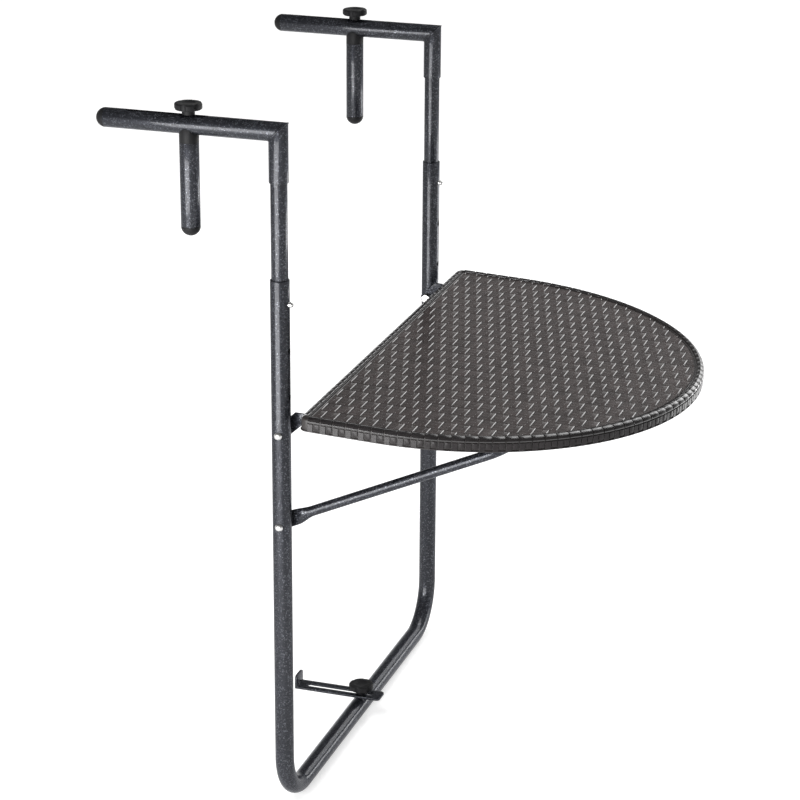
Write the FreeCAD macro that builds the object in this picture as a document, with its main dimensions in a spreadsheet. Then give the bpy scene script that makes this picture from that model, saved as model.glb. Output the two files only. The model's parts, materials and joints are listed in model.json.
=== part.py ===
import FreeCAD, Part
import math
import os

import Sketcher
from FreeCAD import Placement, Rotation, Vector

# A half-round table that hangs on a balcony railing.
# X runs along the railing, -Y points at the person who sits there, +Z is up.
# The origin is midway between the two hooks, level with the undersides of their arms,
# in the plane of the post axes. All lengths are in millimetres, angles in degrees.

doc = FreeCAD.newDocument("BalconyTable")
sizes = doc.addObject("Spreadsheet::Sheet", "Sizes")

DRIVING_SIZES = [
    # lower frame
    ("tube_od", 22, "outside diameter of posts, arms and fingers"),
    ("tube_wall", 1.2, "wall of those tubes"),
    ("post_spacing", 550, "distance between the two post axes"),
    ("post_top_drop", 156, "arm underside down to the rim of a post"),
    ("bottom_drop", 802.5, "arm underside down to the axis of the bottom tube"),
    ("bend_radius", 60, "centreline radius of the two bottom bends"),
    # telescoping hooks
    ("slide_gap", 0.3, "radial gap between inner tube and post"),
    ("inner_wall", 1.2, "wall of the inner tube"),
    ("sleeve_drop", 45.5, "arm underside down to the end of the sleeve"),
    ("arm_reach", 203, "post axis to the open end of the arm tube"),
    ("slot_near", 81.5, "post axis to the near end of the arm slot"),
    ("slot_far", 180, "post axis to the far end of the arm slot"),
    ("slot_width", 7, "width of the arm slot"),
    # height lock
    ("hole_first", 27.5, "post rim down to the first lock hole"),
    ("hole_pitch", 54.5, "distance between lock holes"),
    ("hole_dia", 7, "lock hole"),
    ("button_dia", 6.4, "snap button"),
    ("button_out", 5, "how far the snap button stands out of the post"),
    ("inner_tail", 19.5, "inner tube below its lock hole"),
    ("spring_rise", 38, "bend of the snap spring above the button"),
    ("spring_width", 6, "width of the spring strip"),
    ("spring_thick", 0.7, "thickness of the spring strip"),
    # clamp fingers
    ("finger_at", 104.5, "post axis to the finger axis"),
    ("finger_drop", 104, "arm underside down to the open end of the finger tube"),
    ("saddle_band", 8.8, "height of the saddle between arm and finger tube"),
    ("saddle_wrap", 7, "how far the saddle reaches up the sides of the arm"),
    ("plug_length", 16, "plugs of caps and saddles inside their tubes"),
    ("plug_gap", 0.1, "radial gap between a plug and its tube"),
    ("nut_across", 10, "M6 nut across its flats"),
    ("nut_height", 5, "height of an M6 nut"),
    # knobs
    ("stud_dia", 6, "knob stud"),
    ("knob_dia", 31, "star knob across its lobes"),
    ("knob_disc", 7.5, "height of the knob's grip"),
    ("knob_neck_dia", 14.4, "neck of the knob"),
    ("knob_neck", 5.5, "height of the neck"),
    ("knob_round", 2, "rounding of the grip's edges"),
    ("knob_lobes", 6, "lobes on a knob"),
    ("scallop_dia", 9, "hollows between the lobes"),
    ("stud_in_knob", 9, "stud moulded into the knob"),
    # hinge and strut bolts
    ("hinge_drop", 336.5, "arm underside down to the table hinge"),
    ("strut_drop", 447.5, "arm underside down to the strut pivot"),
    ("bolt_dia", 6, "hinge and strut bolts"),
    ("head_dia", 9.5, "domed bolt head"),
    ("head_height", 3, "domed bolt head"),
    ("washer_dia", 14, "nylon washer"),
    ("washer_thick", 1, "nylon washer"),
    ("face_gap", 0.3, "gap between faces that move past each other"),
    ("pin_gap", 0.08, "radial gap of a bolt in the part that turns on it"),
    ("thread_gap", 0.05, "radial gap that stands for a thread"),
    # table top
    ("table_width", 600, "table top across its back edge"),
    ("table_depth", 386, "back edge to the front of the half round"),
    ("table_setback", 30, "hinge axis to the back edge"),
    ("table_rise", 33, "hinge axis up to the top of the lip"),
    ("table_fall", 2.5, "slope of the top towards the front, in degrees"),
    ("rim_height", 16, "height of the outer rim"),
    ("rim_wall", 3, "wall of the outer rim"),
    ("skin", 3, "thickness of the top"),
    ("lip_width", 7, "raised border"),
    ("lip_height", 1.5, "border above the top"),
    ("lip_round", 4, "rounding of the outer top edge"),
    ("lip_foot", 1, "rounding where the border meets the top"),
    ("corner_radius", 9, "back corners"),
    ("rib_height", 6, "stiffening ribs under the top"),
    ("rib_thick", 2, "stiffening ribs"),
    ("rib_pitch", 58, "distance between ribs"),
    ("boss_dia", 9, "screw bosses"),
    ("screw_dia", 4, "self-tapping screws"),
    ("screw_head_dia", 7.5, "their pan heads"),
    ("screw_head", 2.2, "height of a pan head"),
    ("screw_length", 8, "length under the head"),
    # hinge brackets
    ("strap_width", 16, "bracket beside the post"),
    ("strap_thick", 2.5, "sheet of the bracket"),
    ("bracket_length", 95, "hinge axis to the front end of the bracket"),
    ("flange_width", 22, "flange under the table top"),
    ("flange_back", 38, "hinge axis to the back end of the flange"),
    # strut
    ("strut_dia", 12, "strut tube"),
    ("strut_wall", 1.2, "wall of the strut tube"),
    ("strut_reach", 290, "pivot to the axis of the cross bar"),
    ("strut_gap", 1.7, "cross bar below the underside of the table top"),
    ("strut_bend", 30, "centreline radius of the strut's corners"),
    ("leg_gap", 1, "strut leg to the inner face of the post"),
    ("flat_width", 18.8, "flattened end of the strut"),
    ("flat_thick", 2.6, "flattened end of the strut"),
    ("flat_length", 13, "pivot to the end of the flat"),
    ("flare_length", 20, "length over which the tube is flattened"),
    # strut clips
    ("clip_at", 150, "middle of the table to a clip"),
    ("clip_width", 22, "length of a clip along the cross bar"),
    ("clip_wall", 3, "wall of the clip's hook"),
    ("clip_mouth", 10, "mouth of the clip"),
    ("clip_foot", 24, "foot of the clip behind the cross bar"),
    ("clip_boss", 4, "boss above the foot of a clip"),
    # stabiliser
    ("bar_width", 24, "stabiliser bar"),
    ("bar_thick", 2.5, "stabiliser bar"),
    ("bar_front", 28, "post plane to the free end of the bar"),
    ("bar_back", 86, "post plane to the outer face of the upturned end"),
    ("bar_upturn", 19, "height of the upturned end above the bottom tube"),
    ("bar_round", 5, "rounded corners of the bar"),
    ("bar_slot_end", 13.5, "bar end to the end of its slot"),
    ("insert_flange", 0.8, "flange of the rivet nut"),
    ("insert_dia", 9, "body of the rivet nut"),
    ("insert_length", 11, "body of the rivet nut below its flange"),
]

for row, (alias, value, note) in enumerate(DRIVING_SIZES, start=1):
    sizes.set(f"A{row}", note)
    sizes.set(f"B{row}", str(value))
    sizes.setAlias(f"B{row}", alias)
doc.recompute()

SIDES = (("left", -1), ("right", 1))

# Sizes that follow from the driving ones, as expressions over the sheet.
TUBE_R = "Sizes.tube_od / 2"
TUBE_BORE = "Sizes.tube_od / 2 - Sizes.tube_wall"
INNER_R = "Sizes.tube_od / 2 - Sizes.tube_wall - Sizes.slide_gap"
INNER_BORE = "Sizes.tube_od / 2 - Sizes.tube_wall - Sizes.slide_gap - Sizes.inner_wall"
PLUG_R = "Sizes.tube_od / 2 - Sizes.tube_wall - Sizes.plug_gap"
POST_X = "Sizes.post_spacing / 2"
POST_INNER = "(Sizes.post_spacing - Sizes.tube_od) / 2"
POST_OUTER = "(Sizes.post_spacing + Sizes.tube_od) / 2"
LOCK_Z = "-Sizes.post_top_drop - Sizes.hole_first"
PLATE_OUT = f"{POST_INNER} - 2 * Sizes.face_gap - Sizes.washer_thick"
LEG_X = f"{POST_INNER} - Sizes.leg_gap - Sizes.strut_dia / 2"
TOP_UNDER = "Sizes.table_rise - Sizes.lip_height - Sizes.skin"
RIM_BOTTOM = "Sizes.table_rise - Sizes.rim_height"
HALF_WIDTH = "Sizes.table_width / 2"
ROUND_CENTRE = f"-Sizes.table_setback - Sizes.table_depth + {HALF_WIDTH}"
BAR_UNDER = f"-Sizes.bottom_drop + {TUBE_R} + Sizes.insert_flange + Sizes.face_gap"
BAR_TOP = f"{BAR_UNDER} + Sizes.bar_thick"
BOLT_HOLE = "Sizes.bolt_dia / 2 + Sizes.pin_gap"


def num(expression):
    value = sizes.evalExpression(expression)
    return float(getattr(value, "Value", value))


def times(sign, expression):
    return f"{sign} * ({expression})"


def place(obj, x="0", y="0", z="0", axis=None, angle="0"):
    turn = Rotation(axis or Vector(0, 0, 1), num(angle))
    obj.Placement = Placement(Vector(num(x), num(y), num(z)), turn)
    for letter, expression in (("x", x), ("y", y), ("z", z)):
        obj.setExpression(f"Placement.Base.{letter}", expression)
    if axis and "Sizes" in angle:
        obj.setExpression("Placement.Rotation.Angle", angle)


# Sketches

def new_body(name):
    body = doc.addObject("PartDesign::Body", name)
    body.Label = name
    return body


def new_sketch(body, role, name, shift=None):
    sketch = body.newObject("Sketcher::SketchObject", name)
    plane = next(f for f in body.Origin.OriginFeatures if f.Role == role)
    sketch.AttachmentSupport = [(plane, "")]
    sketch.MapMode = "FlatFace"
    if shift:
        sketch.setExpression("AttachmentOffset.Base.z", shift)
    return sketch


def pin(sketch, geometry, point, x, y):
    for kind, expression in (("DistanceX", x), ("DistanceY", y)):
        value = num(expression)
        index = sketch.addConstraint(Sketcher.Constraint(kind, -1, 1, geometry, point, value))
        if "Sizes" in expression:
            sketch.setExpression(f"Constraints[{index}]", expression)


def outline(sketch, corners):
    # A closed loop. A corner with a third entry starts an arc: the word "tangent" makes it
    # leave in line with the edge before, a number of +1 or -1 with a radius makes it turn that way.
    points = [Vector(num(c[0]), num(c[1]), 0) for c in corners]
    count = len(corners)
    made = []
    heading = (points[0] - points[-1]).normalize()
    for i, corner in enumerate(corners):
        start, end = points[i], points[(i + 1) % count]
        if len(corner) == 2:
            index = sketch.addGeometry(Part.LineSegment(start, end))
            made.append((index, 1, 2))
            heading = (end - start).normalize()
            continue
        chord = end - start
        if corner[2] == "tangent":
            normal = Vector(-heading.y, heading.x, 0)
            reach = chord.dot(chord) / (2 * chord.dot(normal))
            centre = start + normal * reach
            turn = 1 if reach > 0 else -1
        else:
            turn, radius = corner[2], num(corner[3])
            half = chord.Length / 2
            side = Vector(-chord.y, chord.x, 0).normalize() * turn
            centre = (start + end) * 0.5 + side * math.sqrt(max(radius ** 2 - half ** 2, 0))
        first, last = (start, end) if turn > 0 else (end, start)
        angles = [math.atan2(p.y - centre.y, p.x - centre.x) for p in (first, last)]
        if angles[1] <= angles[0]:
            angles[1] += 2 * math.pi
        circle = Part.Circle(centre, Vector(0, 0, 1), (start - centre).Length)
        index = sketch.addGeometry(Part.ArcOfCircle(circle, *angles))
        made.append((index, 1, 2) if turn > 0 else (index, 2, 1))
        spoke = end - centre
        heading = Vector(-spoke.y, spoke.x, 0).normalize() * turn
    for i in range(count):
        this, following = made[i], made[(i + 1) % count]
        tangent = len(corners[(i + 1) % count]) > 2 and corners[(i + 1) % count][2] == "tangent"
        kind = "Tangent" if tangent else "Coincident"
        ends = (this[0], this[2], following[0], following[1])
        sketch.addConstraint(Sketcher.Constraint(kind, *ends))
        pin(sketch, this[0], this[1], corners[i][0], corners[i][1])
        if len(corners[i]) > 2 and corners[i][2] != "tangent":
            size = sketch.addConstraint(Sketcher.Constraint("Radius", this[0], num(corners[i][3])))
            sketch.setExpression(f"Constraints[{size}]", corners[i][3])


def rectangle(sketch, x0, y0, x1, y1):
    outline(sketch, [(x0, y0), (x1, y0), (x1, y1), (x0, y1)])


def circle(sketch, x, y, radius):
    shape = Part.Circle(Vector(num(x), num(y), 0), Vector(0, 0, 1), num(radius))
    index = sketch.addGeometry(shape)
    pin(sketch, index, 3, x, y)
    size = sketch.addConstraint(Sketcher.Constraint("Radius", index, num(radius)))
    sketch.setExpression(f"Constraints[{size}]", radius)


def upright_slot(sketch, x, low, high, half_width):
    # A slot along the sketch's second axis with half-round ends.
    left, right = f"{x} - ({half_width})", f"{x} + {half_width}"
    bottom, top = f"{low} + {half_width}", f"{high} - ({half_width})"
    outline(sketch, [(left, top), (left, bottom, "tangent"),
                     (right, bottom), (right, top, "tangent")])


# Features

CUTS = []


def feature(body, kind, name, profile=None):
    made = body.newObject(f"PartDesign::{kind}", name)
    if profile is not None:
        made.Profile = profile
        profile.Visibility = False
    return made


def pad(body, sketch, length, side="One side", flip=False):
    made = feature(body, "Pad", f"{sketch.Name}_pad", sketch)
    made.SideType = side
    made.Reversed = flip
    made.setExpression("Length", length)
    return made


def pocket(body, sketch, length=None, side="One side", flip=False):
    made = feature(body, "Pocket", f"{sketch.Name}_pocket", sketch)
    made.SideType = side
    made.Reversed = flip
    if length is None:
        made.Type = "ThroughAll"
    else:
        made.setExpression("Length", length)
    CUTS.append(made)
    return made


def revolve(body, sketch):
    made = feature(body, "Revolution", f"{sketch.Name}_turned", sketch)
    made.ReferenceAxis = (sketch, ["V_Axis"])
    made.Angle = 360
    return made


def pipe(body, profile, path):
    made = feature(body, "AdditivePipe", f"{path.Name}_pipe", profile)
    doc.recompute()
    made.Spine = (path, [f"Edge{i + 1}" for i in range(len(path.Shape.Edges))])
    return made


def edges_where(shape, test):
    return [f"Edge{i}" for i, edge in enumerate(shape.Edges, start=1) if test(edge)]


def round_edges(body, name, radius, test):
    doc.recompute()
    base = body.Tip
    made = feature(body, "Fillet", name)
    made.Base = (base, edges_where(base.Shape, test))
    made.setExpression("Radius", radius)
    return made


def group(name, members):
    made = doc.addObject("Part::Compound", name)
    made.Label = name
    made.Links = members
    return made


def level(edge, height):
    box = edge.BoundBox
    return abs(box.ZMin - height) < 0.01 and abs(box.ZMax - height) < 0.01


# Lower frame: one tube bent into a U, with lock holes, bolt holes and the seat of the rivet nut

def bent_tube_path(sketch, half_span, top, bottom, radius):
    # Down one leg, along the bottom and up the other leg.
    corner_x, corner_z = f"{half_span} - {radius}", f"{bottom} + {radius}"
    marks = [(times(-1, half_span), top), (times(-1, half_span), corner_z),
             (times(-1, corner_x), bottom), (corner_x, bottom),
             (half_span, corner_z), (half_span, top)]
    points = [Vector(num(x), num(z), 0) for x, z in marks]
    r = num(radius)
    legs = [sketch.addGeometry(Part.LineSegment(points[i], points[i + 1])) for i in (0, 2, 4)]
    bends = []
    for sign, start, end in ((-1, math.pi, 1.5 * math.pi), (1, 1.5 * math.pi, 2 * math.pi)):
        centre = Vector(sign * num(corner_x), num(corner_z), 0)
        arc = Part.ArcOfCircle(Part.Circle(centre, Vector(0, 0, 1), r), start, end)
        bends.append(sketch.addGeometry(arc))
    joints = [(legs[0], 2, bends[0], 1), (bends[0], 2, legs[1], 1),
              (legs[1], 2, bends[1], 1), (bends[1], 2, legs[2], 1)]
    for joint in joints:
        sketch.addConstraint(Sketcher.Constraint("Tangent", *joint))
    size = sketch.addConstraint(Sketcher.Constraint("Radius", bends[0], r))
    sketch.setExpression(f"Constraints[{size}]", radius)
    pin(sketch, legs[0], 1, *marks[0])
    pin(sketch, legs[2], 2, *marks[5])
    for end, place_x in ((1, times(-1, corner_x)), (2, corner_x)):
        index = sketch.addConstraint(
            Sketcher.Constraint("DistanceX", -1, 1, legs[1], end, num(place_x)))
        sketch.setExpression(f"Constraints[{index}]", place_x)
    index = sketch.addConstraint(Sketcher.Constraint("DistanceY", -1, 1, legs[1], 1, num(bottom)))
    sketch.setExpression(f"Constraints[{index}]", bottom)


def make_lower_frame():
    body = new_body("lower_frame")
    path = new_sketch(body, "XZ_Plane", "frame_path")
    bent_tube_path(path, POST_X, "-Sizes.post_top_drop", "-Sizes.bottom_drop",
                   "Sizes.bend_radius")
    section = new_sketch(body, "XY_Plane", "frame_section", "-Sizes.post_top_drop")
    circle(section, times(-1, POST_X), "0", TUBE_R)
    circle(section, times(-1, POST_X), "0", TUBE_BORE)
    pipe(body, section, path)

    locks = new_sketch(body, "XZ_Plane", "lock_holes")
    for side, sign in SIDES:
        for step in range(3):
            circle(locks, times(sign, POST_X), f"{LOCK_Z} - {step} * Sizes.hole_pitch",
                   "Sizes.hole_dia / 2")
    pocket(body, locks, "Sizes.tube_od", flip=True)

    bolts = new_sketch(body, "YZ_Plane", "bolt_holes")
    for drop in ("Sizes.hinge_drop", "Sizes.strut_drop"):
        circle(bolts, "0", times(-1, drop), BOLT_HOLE)
    pocket(body, bolts, side="Symmetric")

    seat = new_sketch(body, "XY_Plane", "insert_hole", "-Sizes.bottom_drop")
    circle(seat, "0", "0", "Sizes.insert_dia / 2 + Sizes.plug_gap")
    pocket(body, seat, "Sizes.tube_od", flip=True)
    return body


# Bolts, nuts and washers at the two pivots of each post

def make_domed_bolt(name, sign, drop):
    # The head sits on the outer face of the post and the shank runs inwards.
    body = new_body(name)
    profile = new_sketch(body, "XZ_Plane", f"{name}_profile")
    length = (f"Sizes.tube_od + 3 * Sizes.face_gap + Sizes.washer_thick"
              f" + Sizes.strap_thick + Sizes.nut_height + 1")
    radius = "Sizes.head_dia / 2"
    dome = f"pow({radius}; 2) / (2 * Sizes.head_height) + Sizes.head_height / 2"
    outline(profile, [("0", f"-({length})"), ("Sizes.bolt_dia / 2", f"-({length})"),
                      ("Sizes.bolt_dia / 2", "0"), (radius, "0", 1, dome),
                      ("0", "Sizes.head_height")])
    revolve(body, profile)
    place(body, times(sign, POST_OUTER), "0", times(-1, drop), Vector(0, 1, 0), f"{sign * 90}")
    return body


def make_ring(name, outer, inner, length):
    body = new_body(name)
    rings = new_sketch(body, "XY_Plane", f"{name}_section")
    circle(rings, "0", "0", outer)
    circle(rings, "0", "0", inner)
    pad(body, rings, length)
    return body


def make_nut(name, bore):
    body = new_body(name)
    section = new_sketch(body, "XY_Plane", f"{name}_section")
    half, point = "Sizes.nut_across / 2", "Sizes.nut_across / sqrt(3)"
    outline(section, [(point, "0"), (f"{point} / 2", half), (f"-{point} / 2", half),
                      (f"-{point}", "0"), (f"-{point} / 2", f"-{half}"),
                      (f"{point} / 2", f"-{half}")])
    circle(section, "0", "0", bore)
    pad(body, section, "Sizes.nut_height")
    return body


def make_pivots():
    nut_bore = "Sizes.bolt_dia / 2 + Sizes.thread_gap"
    for pivot, drop in (("hinge", "Sizes.hinge_drop"), ("strut", "Sizes.strut_drop")):
        plate = "Sizes.strap_thick" if pivot == "hinge" else "Sizes.flat_thick"
        bolts, nuts, washers = [], [], []
        for side, sign in SIDES:
            bolts.append(make_domed_bolt(f"{side}_{pivot}_bolt", sign, drop))
            nut = make_nut(f"{side}_{pivot}_nut", nut_bore)
            inner = f"{PLATE_OUT} - {plate} - Sizes.face_gap"
            place(nut, times(sign, inner), "0", times(-1, drop), Vector(0, 1, 0), f"{-sign * 90}")
            nuts.append(nut)
            washer = make_ring(f"{side}_{pivot}_washer", "Sizes.washer_dia / 2", BOLT_HOLE,
                               "Sizes.washer_thick")
            seat = f"{POST_INNER} - Sizes.face_gap"
            place(washer, times(sign, seat), "0", times(-1, drop), Vector(0, 1, 0),
                  f"{-sign * 90}")
            washers.append(washer)
        group(f"{pivot}_bolts", bolts)
        group(f"{pivot}_nuts", nuts)
        group(f"{pivot}_washers", washers)


# Hooks: an arm and a sleeve mitred together, an inner tube that slides in the post, and a cap

def make_tube(name, axis_role, outer, inner, start, end, x="0", y="0"):
    body = new_body(name)
    section = new_sketch(body, axis_role, f"{name}_section", start)
    circle(section, x, y, outer)
    circle(section, x, y, inner)
    pad(body, section, f"({end}) - ({start})")
    return body


def make_arm_tube(side, sign):
    # The arm points along +Y. Its post end is cut at 45 degrees to meet the sleeve.
    name = f"{side}_arm_tube"
    body = new_body(name)
    section = new_sketch(body, "XZ_Plane", f"{name}_section", TUBE_R)
    circle(section, "0", TUBE_R, TUBE_R)
    circle(section, "0", TUBE_R, TUBE_BORE)
    pad(body, section, f"Sizes.arm_reach + {TUBE_R}", flip=True)
    mitre = new_sketch(body, "YZ_Plane", f"{name}_mitre")
    outline(mitre, [(f"-{TUBE_R}", "Sizes.tube_od"), (TUBE_R, "0"),
                    (TUBE_R, "-1"), (f"-{TUBE_R} - 1", "-1"), (f"-{TUBE_R} - 1", "Sizes.tube_od")])
    pocket(body, mitre, "2 * Sizes.tube_od", side="Symmetric")
    slot = new_sketch(body, "XY_Plane", f"{name}_slot", "-1")
    upright_slot(slot, "0", "Sizes.slot_near", "Sizes.slot_far", "Sizes.slot_width / 2")
    pocket(body, slot, "Sizes.tube_od + 2", flip=True)
    place(body, times(sign, POST_X))
    return body


def make_sleeve_tube(side, sign):
    # The sleeve hangs from the mitre and is open below. The weld bead follows the joint.
    name = f"{side}_sleeve_tube"
    body = new_body(name)
    section = new_sketch(body, "XY_Plane", f"{name}_section", "-Sizes.sleeve_drop")
    circle(section, "0", "0", TUBE_R)
    circle(section, "0", "0", f"{INNER_R} + Sizes.plug_gap")
    pad(body, section, "Sizes.sleeve_drop + Sizes.tube_od")
    mitre = new_sketch(body, "YZ_Plane", f"{name}_mitre")
    outline(mitre, [(f"-{TUBE_R}", "Sizes.tube_od"), (TUBE_R, "0"),
                    (f"{TUBE_R} + 1", "0"), (f"{TUBE_R} + 1", "Sizes.tube_od + 1"),
                    (f"-{TUBE_R}", "Sizes.tube_od + 1")])
    pocket(body, mitre, "2 * Sizes.tube_od", side="Symmetric")
    round_edges(body, f"{name}_rolled_edge", "Sizes.tube_wall / 2",
                lambda edge: level(edge, -num("Sizes.sleeve_drop"))
                and edge.BoundBox.XLength > num("Sizes.tube_od") - 0.1)
    place(body, times(sign, POST_X))
    return body


def make_inner_tube(side, sign):
    name = f"{side}_inner_tube"
    bottom = f"{LOCK_Z} - Sizes.inner_tail"
    body = make_tube(name, "XY_Plane", INNER_R, INNER_BORE, bottom, "-2")
    lock = new_sketch(body, "XZ_Plane", f"{name}_lock")
    circle(lock, "0", LOCK_Z, "Sizes.hole_dia / 2")
    pocket(body, lock, "Sizes.tube_od", flip=True)
    place(body, times(sign, POST_X))
    return body


def make_dome_cap(name):
    # A hemisphere with a hollow plug. The dome points along +Z, the plug goes into the tube.
    body = new_body(name)
    profile = new_sketch(body, "XZ_Plane", f"{name}_profile")
    hollow = f"{PLUG_R} - Sizes.tube_wall * 2"
    outline(profile, [("0", "2"), (hollow, "2"), (hollow, "-Sizes.plug_length"),
                      (f"{PLUG_R} - 0.6", "-Sizes.plug_length"), (PLUG_R, "-Sizes.plug_length + 1.5"),
                      (PLUG_R, "0"), (TUBE_R, "0", 1, TUBE_R), ("0", TUBE_R)])
    revolve(body, profile)
    return body


def make_snap_spring(side, sign):
    # A strip bent into a V. One leg carries the button, the other leans on the far wall.
    name = f"{side}_snap_spring"
    body = new_body(name)
    strip = new_sketch(body, "YZ_Plane", f"{name}_strip")
    front, back = f"-{INNER_BORE_TEXT} + 2.3", f"{INNER_BORE_TEXT} - 0.8"
    low, shoulder = f"{LOCK_Z} - 6", f"{LOCK_Z} + 8"
    top = f"{LOCK_Z} + Sizes.spring_rise"
    thick = "Sizes.spring_thick"
    outline(strip, [(front, low), (f"{front} + {thick}", low), (f"{front} + {thick}", shoulder),
                    ("0", f"{top} - 3"), (f"{back} - {thick}", shoulder),
                    (f"{back} - {thick}", low), (back, low), (back, shoulder),
                    ("0.8", top), ("-0.8", top), (front, shoulder)])
    pad(body, strip, "Sizes.spring_width", side="Symmetric")
    place(body, times(sign, POST_X))
    return body


INNER_BORE_TEXT = f"({INNER_BORE})"


def make_snap_button(side, sign):
    # A domed stem with a collar that stops it inside the inner tube. It points along -Y.
    name = f"{side}_snap_button"
    body = new_body(name)
    profile = new_sketch(body, "XZ_Plane", f"{name}_profile")
    radius, collar = "Sizes.button_dia / 2", "Sizes.button_dia / 2 + 0.9"
    root, tip = f"{INNER_BORE_TEXT} - 2.3", f"{TUBE_R} + Sizes.button_out"
    dome = f"pow({radius}; 2) / 5 + 1.25"
    outline(profile, [("0", root), (collar, root), (collar, f"{root} + 0.7"),
                      (radius, f"{root} + 0.7"), (radius, f"{tip} - 2.5", 1, dome), ("0", tip)])
    revolve(body, profile)
    place(body, times(sign, POST_X), "0", LOCK_Z, Vector(1, 0, 0), "90")
    return body


def make_hook(side, sign):
    make_arm_tube(side, sign)
    make_sleeve_tube(side, sign)
    make_inner_tube(side, sign)
    cap = make_dome_cap(f"{side}_arm_cap")
    place(cap, times(sign, POST_X), "Sizes.arm_reach", TUBE_R, Vector(1, 0, 0), "-90")
    make_snap_spring(side, sign)
    make_snap_button(side, sign)


# Clamp fingers: a saddle under the arm, a tube, a cap, a captive nut and a star knob with its stud

def make_saddle(side, sign):
    name = f"{side}_finger_saddle"
    body = new_body(name)
    profile = new_sketch(body, "XZ_Plane", f"{name}_profile")
    stud = "Sizes.stud_dia / 2 + Sizes.thread_gap"
    outline(profile, [(stud, "-Sizes.saddle_band - Sizes.plug_length"),
                      (PLUG_R, "-Sizes.saddle_band - Sizes.plug_length"),
                      (PLUG_R, "-Sizes.saddle_band"), (TUBE_R, "-Sizes.saddle_band"),
                      (TUBE_R, "Sizes.saddle_wrap"), (stud, "Sizes.saddle_wrap")])
    revolve(body, profile)
    mouth = new_sketch(body, "XZ_Plane", f"{name}_mouth")
    circle(mouth, "0", TUBE_R, f"{TUBE_R} + Sizes.face_gap")
    pocket(body, mouth, "2 * Sizes.tube_od", side="Symmetric")
    trap = new_sketch(body, "XY_Plane", f"{name}_nut_trap",
                      "-Sizes.saddle_band - Sizes.plug_length")
    half, point = "(Sizes.nut_across / 2 + 0.1)", "((Sizes.nut_across + 0.2) / sqrt(3))"
    outline(trap, [(point, "0"), (f"{point} / 2", half), (f"-{point} / 2", half),
                   (f"-{point}", "0"), (f"-{point} / 2", f"-{half}"),
                   (f"{point} / 2", f"-{half}")])
    pocket(body, trap, "Sizes.nut_height", flip=True)
    place(body, times(sign, POST_X), "Sizes.finger_at")
    return body


def make_star_knob(name):
    # A neck and a grip with scalloped sides. The neck stands on the local origin.
    body = new_body(name)
    profile = new_sketch(body, "XZ_Plane", f"{name}_profile")
    neck, grip = "Sizes.knob_neck_dia / 2", "Sizes.knob_dia / 2"
    top = "Sizes.knob_neck + Sizes.knob_disc"
    stud = "Sizes.stud_dia / 2 + Sizes.thread_gap"
    soft = "Sizes.knob_round"
    outline(profile, [(stud, "0"), (neck, "0"), (neck, "Sizes.knob_neck"),
                      (f"{grip} - {soft}", "Sizes.knob_neck", 1, soft),
                      (grip, f"Sizes.knob_neck + {soft}"),
                      (grip, f"{top} - {soft}", 1, soft), (f"{grip} - {soft}", top),
                      (f"{neck} + 1", top), (f"{neck}", f"{top} - 0.6"),
                      ("0", f"{top} - 0.6"), ("0", "Sizes.stud_in_knob + 0.1"),
                      (stud, "Sizes.stud_in_knob + 0.1")])
    revolve(body, profile)
    scallop = new_sketch(body, "XY_Plane", f"{name}_scallop", "Sizes.knob_neck - 0.5")
    circle(scallop, f"{grip} + Sizes.scallop_dia / 4", "0", "Sizes.scallop_dia / 2")
    cut = pocket(body, scallop, "Sizes.knob_disc + 1", flip=True)
    doc.recompute()
    around = feature(body, "PolarPattern", f"{name}_lobes")
    around.Originals = [cut]
    axis = next(f for f in body.Origin.OriginFeatures if f.Role == "Z_Axis")
    around.Axis = (axis, [""])
    around.Angle = 360
    around.setExpression("Occurrences", "Sizes.knob_lobes")
    body.Tip = around
    return body


def make_stud(name, length):
    # A plain rod that stands for the threaded stud. Its top is inside the knob.
    body = new_body(name)
    section = new_sketch(body, "XY_Plane", f"{name}_section", "Sizes.stud_in_knob")
    circle(section, "0", "0", "Sizes.stud_dia / 2")
    pad(body, section, length, flip=True)
    round_edges(body, f"{name}_tip", "0.6", lambda edge: edge.BoundBox.XLength > 1)
    return body


def make_finger(side, sign):
    make_saddle(side, sign)
    top, end = "-Sizes.saddle_band", "-Sizes.finger_drop"
    tube = make_tube(f"{side}_finger_tube", "XY_Plane", TUBE_R, TUBE_BORE, end, top)
    place(tube, times(sign, POST_X), "Sizes.finger_at")
    cap = make_dome_cap(f"{side}_finger_cap")
    place(cap, times(sign, POST_X), "Sizes.finger_at", end, Vector(1, 0, 0), "180")
    nut = make_nut(f"{side}_finger_nut", "Sizes.stud_dia / 2 + Sizes.thread_gap")
    place(nut, times(sign, POST_X), "Sizes.finger_at", "-Sizes.saddle_band - Sizes.plug_length")
    knob = make_star_knob(f"{side}_clamp_knob")
    seat = "Sizes.tube_od + Sizes.face_gap"
    place(knob, times(sign, POST_X), "Sizes.finger_at", seat)
    reach = f"Sizes.stud_in_knob + {seat} + Sizes.saddle_band + Sizes.plug_length"
    stud = make_stud(f"{side}_clamp_stud", reach)
    place(stud, times(sign, POST_X), "Sizes.finger_at", seat)


# Table top: a moulded half-round shell, flat here and tilted by its placement about the hinge axis

def on_table(obj):
    place(obj, "0", "0", "-Sizes.hinge_drop", Vector(1, 0, 0), "Sizes.table_fall")


def half_round(sketch, inset):
    half = f"{HALF_WIDTH} - {inset}"
    back = f"-Sizes.table_setback - {inset}"
    outline(sketch, [(half, back), (times(-1, half), back), (times(-1, half), ROUND_CENTRE, "tangent"),
                     (half, ROUND_CENTRE)])


def rib_reach(y):
    # Half of the width between the rim's walls at a given distance from the hinge.
    return f"sqrt(pow({HALF_WIDTH} - Sizes.rim_wall / 2; 2) - pow({y} - ({ROUND_CENTRE}); 2))"


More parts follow.
